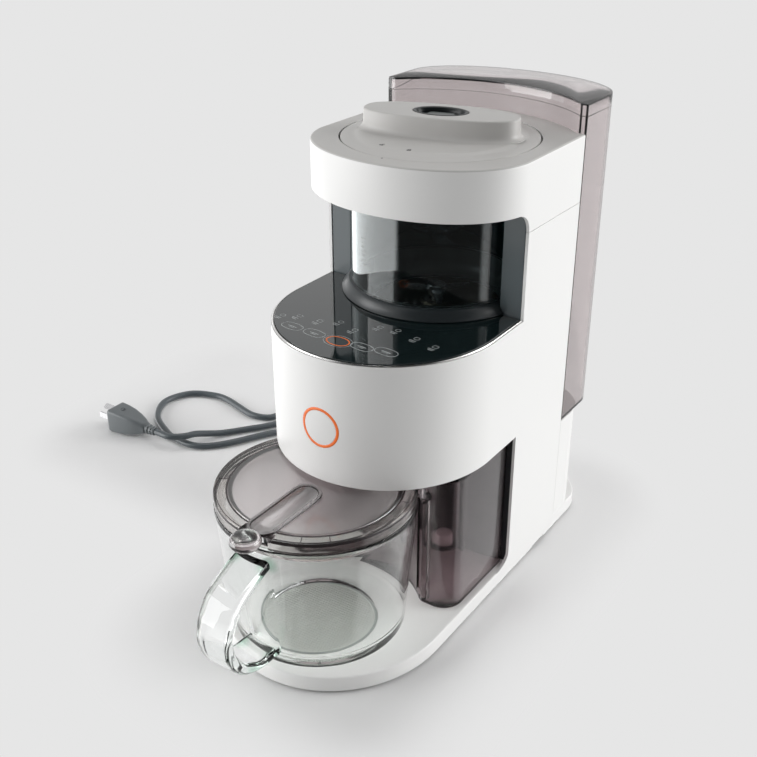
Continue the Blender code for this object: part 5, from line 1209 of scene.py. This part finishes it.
# The tub's bottom band takes the dark finish as painted shade along its foot.
paint(tub, 1, lambda spot, facing: spot.z < waste_low.z + foot_band and facing.z > -0.9)
finger_radius = 0.0065
finger_wall = 0.0022
finger_low = waste_low.z + 0.006
finger_high = waste_low.z + 0.098
finger_reach = hollow_radius + finger_wall / 2
for side in (-1, 1):
    spot = (
        cup_centre[0] + side * finger_reach * math.sqrt(0.5), cup_centre[1] + finger_reach * math.sqrt(0.5)
    )
    boss_line = circle(spot, finger_radius + finger_wall, 40)
    boss = prism("boss", boss_line, finger_low - finger_wall, finger_high + finger_wall)
    hollow_line = circle(cup_centre, hollow_radius + box_wall / 3, 160)
    shape(boss, prism("tool", hollow_line, finger_low - cut_over, finger_high + cut_over), "DIFFERENCE")
    shape(tub, boss, "UNION")
    shape(tub, prism("tool", circle(spot, finger_radius, 40), finger_low, finger_high), "DIFFERENCE")
smooth(tub, 32.0)
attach(tub, "waste_box")
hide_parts("waste_box")

well_spot = (0.046, 0.01275)
well_radius = 0.0175
well_wall = 0.002
lid_round = 0.0004
tub_lid = loft("waste_tub_lid", [
    at(box_outline, waste_high.z + fit_gap), at(box_outline, lidded_high.z - lid_round),
    at(inset(box_outline, lid_round), lidded_high.z),
], smoke_box)
well_profile = [
    (well_radius - well_wall, lidded_low.z + well_wall), (well_radius - well_wall, lidded_high.z - 0.0013),
    (well_radius, lidded_high.z - 0.0013), (well_radius, lidded_low.z + well_radius / 3),
    (well_radius * 0.93, lidded_low.z + well_radius / 8), (well_radius * 2 / 3, lidded_low.z),
]
shape(tub_lid, lathe("tool", well_spot, well_profile, [], closed=False, steps=64), "UNION")
well_hole = circle(well_spot, well_radius - well_wall * 2, 64)
shape(tub_lid, prism("tool", well_hole, waste_high.z - cut_over, lidded_high.z + cut_over), "DIFFERENCE")
smooth(tub_lid, 32.0)
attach(tub_lid, "waste_box")
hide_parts("waste_box_cover")
float_body = lathe("waste_float", well_spot, [
    (0.0001, lidded_low.z + 0.0026), (0.0070, lidded_low.z + 0.0026), (0.0080, lidded_low.z + 0.0034),
    (0.0080, lidded_low.z + 0.0120), (0.0072, lidded_low.z + 0.0130), (0.0001, lidded_low.z + 0.0130),
], moulded("float_white", (0.55, 0.52, 0.52), (0.60, 0.57, 0.57), 0.45), closed=False, steps=48)
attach(float_body, "waste_box")


# Cup: thick pressed glass, almost clear, with a broad strap handle drawn out of its front and a thick
# foot. The glass turns green where the handle's roots meet the wall. It stands on a ribbed rubber pad
# of grey-green, let into the base.
cup_clear = clear(
    "cup_clear", (0.993, 0.998, 0.995), 0.0, (0.66, 0.90, 0.76), 3.0, (0.965, 0.972, 0.968), bending=1.40
)
cup_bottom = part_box("cup_glass")[0].z
skirt_depth = 0.0068
cup_rim = cup_lid_low.z + skirt_depth - fit_gap
neck = 0.0778
rim_radius = 0.0786
foot_radius = 0.0690
cup_wall = 0.0035
cup_bowl = lathe("cup_bowl", cup_centre, [
    (0.0395, cup_bottom + 0.0012), (0.0425, cup_bottom + 0.0008), (0.0440, cup_bottom + 0.0002),
    (0.0446, cup_bottom), (foot_radius - 0.0042, cup_bottom), (foot_radius - 0.0022, cup_bottom + 0.0004),
    (foot_radius - 0.0008, cup_bottom + 0.0015), (foot_radius, cup_bottom + 0.0034),
    (neck, cup_rim - 0.0080), (neck + 0.0004, cup_rim - 0.0055), (rim_radius - 0.0001, cup_rim - 0.0040),
    (rim_radius, cup_rim - 0.0030), (rim_radius, cup_rim - 0.0009), (rim_radius - 0.0003, cup_rim - 0.0003),
    (rim_radius - 0.0010, cup_rim), (rim_radius - cup_wall + 0.0010, cup_rim),
    (rim_radius - cup_wall + 0.0003, cup_rim - 0.0003), (rim_radius - cup_wall, cup_rim - 0.0010),
    (neck - cup_wall, cup_rim - 0.0120), (foot_radius - cup_wall, cup_bottom + 0.0130),
    (foot_radius - cup_wall - 0.0009, cup_bottom + 0.0094),
    (foot_radius - cup_wall - 0.0034, cup_bottom + 0.0070),
    (foot_radius - cup_wall * 3, cup_bottom + 0.0060),
], cup_clear, closed=False, steps=144, sharp=50.0)
strap_root = 0.0747
strap_reach = 0.1215
strap_low = cup_bottom + 0.0155
strap_high = cup_bottom + 0.0985
strap_half_width = 0.0152
strap_half_thick = 0.0045
strap_corner = 0.0034
strap_shares = (
    (0.00, 1.00), (0.25, 0.95), (0.48, 0.89), (0.65, 0.84), (0.78, 0.78), (0.87, 0.70), (0.95, 0.61),
    (1.00, 0.47), (0.95, 0.33), (0.84, 0.205), (0.70, 0.114), (0.50, 0.052), (0.29, 0.018), (-0.125, 0.0),
)
strap_line = smooth_route([
    Vector((
        cup_centre[0],
        cup_centre[1] - strap_root - (strap_reach - strap_root) * reach,
        strap_low + (strap_high - strap_low) * rise,
    ))
    for reach, rise in strap_shares
], 0.0022)
strap_section = rounded_section(strap_half_width, strap_half_thick, strap_corner, 5)
strap_loops = []
for i, spot in enumerate(strap_line):
    before = strap_line[max(i - 1, 0)]
    after = strap_line[min(i + 1, len(strap_line) - 1)]
    run = (after - before).normalized()
    if i in (0, len(strap_line) - 1):
        run = Vector((0.0, -1.0 if i == 0 else 1.0, 0.0))
    out = Vector((0.0, run.z, -run.y))
    strap_loops.append([spot + Vector((wide, 0.0, 0.0)) + out * thick for wide, thick in strap_section])
shape(cup_bowl, loft("tool", strap_loops, []), "UNION")


def tinted_near(mat, spots, near, far, colour):
    """Deepens a clear material's colour round a few spots, where the glass is thick."""
    tree = mat.node_tree
    shader = tree.nodes["Principled BSDF"]
    place = node(tree, "ShaderNodeTexCoord")["Object"]
    reach = None
    for spot in spots:
        away = vector(tree, "DISTANCE", place, spot)["Value"]
        reach = away if reach is None else reckon(tree, "MINIMUM", reach, away)
    tone = node(
        tree, "ShaderNodeMix", data_type="RGBA", Factor=fade(tree, reach, near, far), A=(*colour, 1.0),
        B=shader.inputs["Base Color"].default_value,
    )["Result"]
    feed(shader, Base_Color=tone)


root_y = cup_centre[1] - strap_root - strap_half_thick
root_spots = [
    (cup_centre[0] + side * strap_half_width, root_y, height)
    for height in (strap_low, strap_high) for side in (-1, 1)
]
tinted_near(cup_clear, root_spots, 0.003, 0.011, (0.50, 0.74, 0.61))
smooth(cup_bowl, 40.0)
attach(cup_bowl, "cup")
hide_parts("cup_glass")


def repeated(name, unit, spots, mat):
    """Copies of a small unit at (place, turn, size) spots, made with Geometry Nodes."""
    carrier_mesh = bpy.data.meshes.new(name)
    carrier_mesh.from_pydata([place for place, _, _ in spots], [], [])
    turns = carrier_mesh.attributes.new("turn", "FLOAT_VECTOR", "POINT")
    sizes = carrier_mesh.attributes.new("size", "FLOAT_VECTOR", "POINT")
    for i, (_, turn, size) in enumerate(spots):
        turns.data[i].vector = turn
        sizes.data[i].vector = size
    carrier = show(name, carrier_mesh)
    tree = bpy.data.node_groups.new(name + "_copies", "GeometryNodeTree")
    identifiers = {}
    for label, kind in (("Geometry", "Geometry"), ("Unit", "Object"), ("Finish", "Material")):
        socket = tree.interface.new_socket(label, in_out="INPUT", socket_type="NodeSocket" + kind)
        identifiers[label] = socket.identifier
    tree.interface.new_socket("Geometry", in_out="OUTPUT", socket_type="NodeSocketGeometry")
    given = node(tree, "NodeGroupInput")
    unit_form = node(tree, "GeometryNodeObjectInfo", Object=given["Unit"])["Geometry"]
    turn_read, size_read = [
        node(tree, "GeometryNodeInputNamedAttribute", data_type="FLOAT_VECTOR", Name=label)["Attribute"]
        for label in ("turn", "size")
    ]
    spread = node(
        tree, "GeometryNodeInstanceOnPoints", Points=given["Geometry"], Instance=unit_form,
        Rotation=turn_read, Scale=size_read,
    )["Instances"]
    solid = node(tree, "GeometryNodeRealizeInstances", Geometry=spread)["Geometry"]
    finish = node(tree, "GeometryNodeSetMaterial", Geometry=solid, Material=given["Finish"])["Geometry"]
    node(tree, "NodeGroupOutput", Geometry=finish)
    modifier = carrier.modifiers.new("copies", "NODES")
    modifier.node_group = tree
    modifier[identifiers["Unit"]] = unit
    modifier[identifiers["Finish"]] = mat
    bpy.context.view_layer.update()
    mesh = bpy.data.meshes.new_from_object(carrier.evaluated_get(bpy.context.evaluated_depsgraph_get()))
    carrier.modifiers.remove(modifier)
    carrier.data = mesh
    mesh.materials.clear()
    mesh.materials.append(mat)
    bpy.data.objects.remove(unit)
    return carrier


def bar_unit(slope=0.25):
    """A unit bar, one long, one wide and one high, with sloped ends and sides."""
    inner = 0.5 - slope
    return loft("unit_bar", [
        [(-0.5, -0.5, 0.0), (0.5, -0.5, 0.0), (0.5, 0.5, 0.0), (-0.5, 0.5, 0.0)],
        [(-0.5, -0.5, 0.4), (0.5, -0.5, 0.4), (0.5, 0.5, 0.4), (-0.5, 0.5, 0.4)],
        [(-0.495, -inner, 1.0), (0.495, -inner, 1.0), (0.495, inner, 1.0), (-0.495, inner, 1.0)],
    ], [])


def off_axis(spot, centre):
    """How far a spot is from an upright axis."""
    return math.hypot(spot.x - centre[0], spot.y - centre[1])


pad_edge = moulded("pad_edge", (0.26, 0.29, 0.275), (0.31, 0.34, 0.325), 0.5)
pad_rubber = moulded("pad_rubber", (0.56, 0.575, 0.55), (0.60, 0.61, 0.585), 0.5, 0.1, 900.0, 0.00002)
rib_height = 0.0004
rib_width = 0.0007
rib_pitch = 0.0026
mat_face = pad_high.z - rib_height
pad_disc = lathe("pad_disc", pad_centre, [
    (0.0001, mat_face), (pad_radius - 0.0024, mat_face), (pad_radius - 0.0020, mat_face + rib_height),
    (pad_radius - 0.0003, mat_face + rib_height), (pad_radius, mat_face), (pad_radius, pad_low.z),
    (0.0001, pad_low.z),
], [pad_rubber, pad_edge], closed=False, steps=144)
paint(pad_disc, 1, lambda spot, facing: (
    pad_radius - 0.0021 < off_axis(spot, pad_centre) < pad_radius - 0.0001
))
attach(pad_disc, "machine")
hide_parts("cup_pad")
rib_field = pad_radius - 0.0040
rib_spots = []
for rib_turn in (0.0, math.pi / 2):
    along = Vector((math.cos(rib_turn), math.sin(rib_turn), 0.0))
    aside = Vector((-along.y, along.x, 0.0))
    rib_count = int(rib_field / rib_pitch)
    for k in range(-rib_count, rib_count + 1):
        offset = k * rib_pitch
        span = 2 * math.sqrt(rib_field**2 - offset**2)
        place = Vector((*pad_centre, mat_face - rib_height / 4)) + aside * offset
        rib_spots.append((place, (0.0, 0.0, rib_turn), (span, rib_width, rib_height * 5 / 4)))
pad_ribs = repeated("pad_ribs", bar_unit(), rib_spots, pad_rubber)
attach(pad_ribs, "machine")


# Cup lid: a frosted smoke disc inside a clearer ring with a painted shadow in a dark band round its wall,
# a fine groove between them filled dark as painted shade, short bars across the ring and a skirt inside
# the glass. A long opening lies under the lever, and a notch in the ring takes the lever's tongue.
smoke_lid = clear(
    "smoke_lid", (0.84, 0.795, 0.795), 0.24, (0.5, 0.42, 0.43), 50.0, (0.84, 0.82, 0.82),
    Coat_Weight=1.0, Coat_Roughness=0.03,
)
face_z = cup_lid_high.z
lid_edge = face_z - 0.0045
skirt = rim_radius - cup_wall - 0.0008
face_radius = 0.0672
ring_edge = rim_radius - 0.0008
ring_top = face_z - 0.0004
ring_seat = cup_rim + fit_gap
painted_wall_shadow = 0.0024
smoke_ring = clear("smoke_ring", (0.86, 0.85, 0.835), 0.05, (0.5, 0.44, 0.42), 45.0, (0.84, 0.82, 0.82))
cup_cap = lathe("cup_cap", cup_centre, [
    (0.0636, face_z - 0.0037), (skirt - 0.0025, lid_edge - 0.0012), (skirt - 0.0025, cup_lid_low.z),
    (skirt, cup_lid_low.z), (skirt, ring_seat), (ring_edge, ring_seat),
    (ring_edge + 0.0003, ring_seat + 0.0004), (ring_edge + 0.0003, ring_top - painted_wall_shadow),
    (ring_edge + 0.0003, ring_top - 0.0005),
    (ring_edge, ring_top - 0.0001), (ring_edge - 0.0005, ring_top),
    (face_radius + 0.0015, ring_top), (face_radius + 0.0012, ring_top - 0.0004),
    (face_radius + 0.0007, face_z - 0.0022), (face_radius, face_z - 0.0004), (face_radius - 0.0004, face_z),
], [smoke_lid, smoke_ring, smoke_edge_painted_shade], closed=False, steps=144, sharp=25.0)
paint(cup_cap, 1, lambda spot, facing: off_axis(spot, cup_centre) > face_radius + 0.0004)
# The ring's outer wall under its top takes the dark finish as a painted shadow.
paint(cup_cap, 2, lambda spot, facing: (
    off_axis(spot, cup_centre) > ring_edge - 0.0001 and spot.z > ring_top - painted_wall_shadow
))


def obround(x, back_y, front_y, half_width, steps=24):
    """A slot outline along Y with round ends."""
    near = arc((x, front_y + half_width), half_width, math.pi, math.tau, steps)
    far = arc((x, back_y - half_width), half_width, 0.0, math.pi, steps)
    return near + far


lever_aside = 0.0035
lever_x = cup_centre[0] + lever_aside
lever_pivot_y = -0.16825
slot_back = cup_centre[1] - 0.0085
slot_front = lever_pivot_y + 0.004
slot_half_width = 0.0095
slot_line = obround(lever_x, slot_back, slot_front, slot_half_width)
shape(cup_cap, prism("tool", slot_line, cup_rim - cut_over, face_z + cut_over), "DIFFERENCE")
thumb_spot = (lever_x, cup_centre[1] - 0.0865)
thumb_hollow_radius = 0.0155
thumb_hollow = circle(thumb_spot, thumb_hollow_radius, 48)
shape(cup_cap, prism("tool", thumb_hollow, cup_rim + 0.0002, face_z + cut_over), "DIFFERENCE")
notch_half_width = 0.0140
notch_depth = 0.0030
notch_end = lever_pivot_y + 0.001
notch_line = [
    (lever_x - notch_half_width, thumb_spot[1]), (lever_x + notch_half_width, thumb_spot[1]),
    (lever_x + notch_half_width, notch_end), (lever_x - notch_half_width, notch_end),
]
shape(cup_cap, prism("tool", notch_line, face_z - notch_depth, face_z + cut_over), "DIFFERENCE")
smooth(cup_cap, 25.0)
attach(cup_cap, "cup_cover")
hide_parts("cup_lid")
groove_dark = moulded("groove_dark", (0.030, 0.022, 0.024), (0.045, 0.034, 0.036), 0.35)
# A dark ring laid in the groove between disc and ring as painted shade.
groove_line = lathe("cup_cap_seal", cup_centre, [
    (face_radius + 0.0001, face_z - 0.0020), (face_radius + 0.0013, face_z - 0.0020),
    (face_radius + 0.0014, face_z - 0.0006), (face_radius + 0.0001, face_z - 0.0006),
], groove_dark, steps=144)
rim_line_radius = ring_edge - 0.0022
rim_line = lathe("cup_cap_line", cup_centre, [
    (rim_line_radius, ring_top - 0.0002), (rim_line_radius + 0.0006, ring_top - 0.0002),
    (rim_line_radius + 0.0006, ring_top + 0.0001), (rim_line_radius, ring_top + 0.0001),
], groove_dark, steps=144)
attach(rim_line, "cup_cover")
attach(groove_line, "cup_cover")
bar_spots = []
bar_reach = (face_radius + 0.0012 + rim_line_radius) / 2
bar_size = (rim_line_radius - face_radius - 0.0012, 0.0007, 0.0004)
for degrees in (-152.0, -61.0, -45.0, -21.0, 14.0, 70.0, 118.0, 165.0):
    turn = math.radians(degrees)
    place = Vector((*swung(cup_centre, bar_reach, turn), ring_top - 0.0002))
    bar_spots.append((place, (0.0, 0.0, turn), bar_size))
rim_bars = repeated("cup_cap_bars", bar_unit(), bar_spots, groove_dark)
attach(rim_bars, "cup_cover")


# Lever: a long smoke tongue with a raised rounded edge and a glassy knob at its front for the thumb.
# It tilts on the lid's rim.
lever_clear = clear("lever_clear", (0.975, 0.965, 0.965), 0.06, (0.6, 0.52, 0.53), 25.0, (0.94, 0.93, 0.93))
tongue_low = face_z + fit_gap
tongue_top = tongue_low + 0.0010
bead_top = tongue_low + 0.0017
tongue_back = cup_centre[1] - 0.005
tongue_front = cup_centre[1] - 0.079
tongue_half_width = 0.0125
tongue_line = obround(lever_x, tongue_back, tongue_front, tongue_half_width)
tongue_loops = [
    at(tongue_line, tongue_low), at(tongue_line, tongue_top), at(inset(tongue_line, 0.0004), bead_top),
    at(inset(tongue_line, 0.0025), bead_top), at(inset(tongue_line, 0.0034), tongue_top),
]
tongue = loft("lever_tongue", tongue_loops, [smoke_lid, smoke_edge_painted_shade, lever_clear], sharp=50.0)
# The bead's outer side and both its slopes take the dark finish as painted shade; its top keeps the lid's
# smoke.
painted_shade_bands = (0, 1, 3)
for number, face in enumerate(tongue.data.polygons):
    if number // len(tongue_line) in painted_shade_bands:
        face.material_index = 1
knob_radius = 0.0118
knob_half_height = 0.0068
knob_z = cup_rim + fit_gap + 0.0090
knob_steps = 32
knob_pole = 0.15  # the share of a step that the profile stops short of the axis at each end
knob_profile = []
for i in range(knob_steps + 1):
    angle = -math.pi / 2 + math.pi * (i + knob_pole) / (knob_steps + 2 * knob_pole)
    knob_profile.append((knob_radius * math.cos(angle), knob_z + knob_half_height * math.sin(angle)))
shape(tongue, lathe("tool", thumb_spot, knob_profile, [], closed=False, steps=72), "UNION")
paint(tongue, 2, lambda spot, facing: not tongue_low - 0.0001 <= spot.z <= bead_top + 0.0001)
smooth(tongue, 45.0)
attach(tongue, "cup_lever")
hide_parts("cup_lid_lever")


# Marks printed on the panel: five touch outlines, the middle one orange, and a row of plain symbols
# over them. They are thin films of ink on the plate.
def flat_ring(name, centre, half_length, half_width, power, turn, width, low, high, mat):
    """A thin raised outline of a rounded oblong."""
    outer = superellipse(centre, half_length, half_width, power, turn, 72)
    inner = superellipse(centre, half_length - width, half_width - width, power, turn, 72)
    return loft(name, [at(outer, low), at(outer, high), at(inner, high), at(inner, low)], mat, closed=True)


ink_pale = moulded("ink_pale", (0.50, 0.53, 0.53), (0.54, 0.57, 0.57), 0.4)
ink_low = panel_high.z - 0.0001
ink_high = panel_high.z + 0.00006
touch_spots = ((-0.0478, -0.0638), (-0.0262, -0.0646), (0.0172, -0.0643), (0.0368, -0.0615))
touch_turn = math.radians(-6.0)
touch_half_length = 0.0098
touch_half_width = 0.0054
touch_power = 2.6
touch_line = 0.00045
marks = []
for number, spot in enumerate(touch_spots):
    marks.append(flat_ring(
        f"touch_outline_{number + 1}", spot, touch_half_length, touch_half_width, touch_power, touch_turn,
        touch_line, ink_low, ink_high, ink_pale,
    ))
start_spot = (-0.0032, -0.0661)
start_power = 2.1
start_mark = flat_ring(
    "touch_outline_start", start_spot, 0.0102, 0.0070, start_power, touch_turn, 0.0010,
    ink_low, ink_high, glow_orange,
)
marks.append(flat_ring(
    "touch_outline_halo", start_spot, 0.0122, 0.0089, start_power, touch_turn, 0.0003,
    ink_low, ink_high, ink_pale,
))


def ink_bar(x, y, length, width):
    """The place, turn and size of one printed line."""
    return (Vector((x, y, ink_low)), (0.0, 0.0, touch_turn), (length, width, ink_high - ink_low))


symbol_bars = []
symbol_spots = (
    (-0.0667, -0.0515), (-0.0547, -0.0455), (-0.0360, -0.0445), (-0.0215, -0.0370), (-0.0040, -0.0430),
    (0.0090, -0.0280), (0.0235, -0.0255), (0.0430, -0.0300), (0.0620, -0.0345),
)
for number, spot in enumerate(symbol_spots):
    marks.append(flat_ring(
        f"symbol_outline_{number + 1}", spot, 0.0024, 0.0021, 2.0 + number % 3, touch_turn, 0.00035,
        ink_low, ink_high, ink_pale
    ))
    for row in range(2):
        symbol_bars.append(ink_bar(
            spot[0] - 0.0010, spot[1] - 0.0044 - row * 0.0019, 0.0062 - row * 0.0016, 0.0006
        ))
for x, y in touch_spots:
    symbol_bars.append(ink_bar(x, y, 0.0082, 0.0007))
    symbol_bars.append(ink_bar(x, y - 0.0016, 0.0052, 0.0005))
marks.append(repeated("symbol_lines", bar_unit(0.05), symbol_bars, ink_pale))
for mark in marks:
    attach(mark, "machine")
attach(start_mark, "machine")


# Marks on the chamber and the lid: a short scale of level lines on the glass, two small lock symbols
# near the edge of the lid's top, and a pointer on the head. All are printed.
scale_ink = moulded("scale_ink", (0.42, 0.43, 0.42), (0.46, 0.47, 0.46), 0.5)
scale_turn = math.radians(-24.0)
scale_low = 0.2780
scale_pitch = 0.0036
scale_reach = glass_radius + 0.00002
scale_bars = []
for k in range(7):
    long_line = k % 3 == 0
    turn = scale_turn + (0.0 if long_line else math.radians(-1.0))
    place = Vector((
        chamber[0] + scale_reach * math.sin(turn), chamber[1] - scale_reach * math.cos(turn),
        scale_low + scale_pitch * k,
    ))
    width = 0.0052 if long_line else 0.0032
    scale_bars.append((place, (math.pi / 2, 0.0, turn), (width, 0.0006, 0.00008)))
level_scale = repeated("level_scale", bar_unit(0.05), scale_bars, scale_ink)
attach(level_scale, "machine")

ink_dark = moulded("ink_dark", (0.035, 0.037, 0.038), (0.045, 0.047, 0.048), 0.5)
mark_height = 0.0003
lock_reach = 0.0602
lock_span = (disc_top - mark_height, disc_top + mark_height / 4)
for number, degrees in enumerate((-81.0, -105.0)):
    turn = math.radians(degrees)
    spot = swung(chamber, lock_reach, turn)
    body = flat_ring(
        f"lock_body_{number + 1}", spot, 0.0017, 0.0013, 4.0, turn + math.pi / 2, 0.0009,
        *lock_span, ink_dark,
    )
    bow_spot = swung(spot, -0.0017, turn)
    bow = flat_ring(
        f"lock_bow_{number + 1}", bow_spot, 0.0011, 0.0013, 2.0, turn + math.pi / 2, 0.0004,
        *lock_span, ink_dark,
    )
    for mark in (body, bow):
        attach(mark, "lid_outer")
pointer_spot = swung(chamber, lid_radius + lid_groove + 0.0016, math.radians(-90.0))
pointer_radius = 0.0008
pointer_low = head_high.z - mark_height
pointer_high = head_high.z + mark_height / 4
pointer = lathe("lid_pointer", pointer_spot, [
    (0.0001, pointer_low), (pointer_radius, pointer_low), (pointer_radius, pointer_high),
    (0.0001, pointer_high),
], ink_dark, closed=False, steps=24)
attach(pointer, "machine")
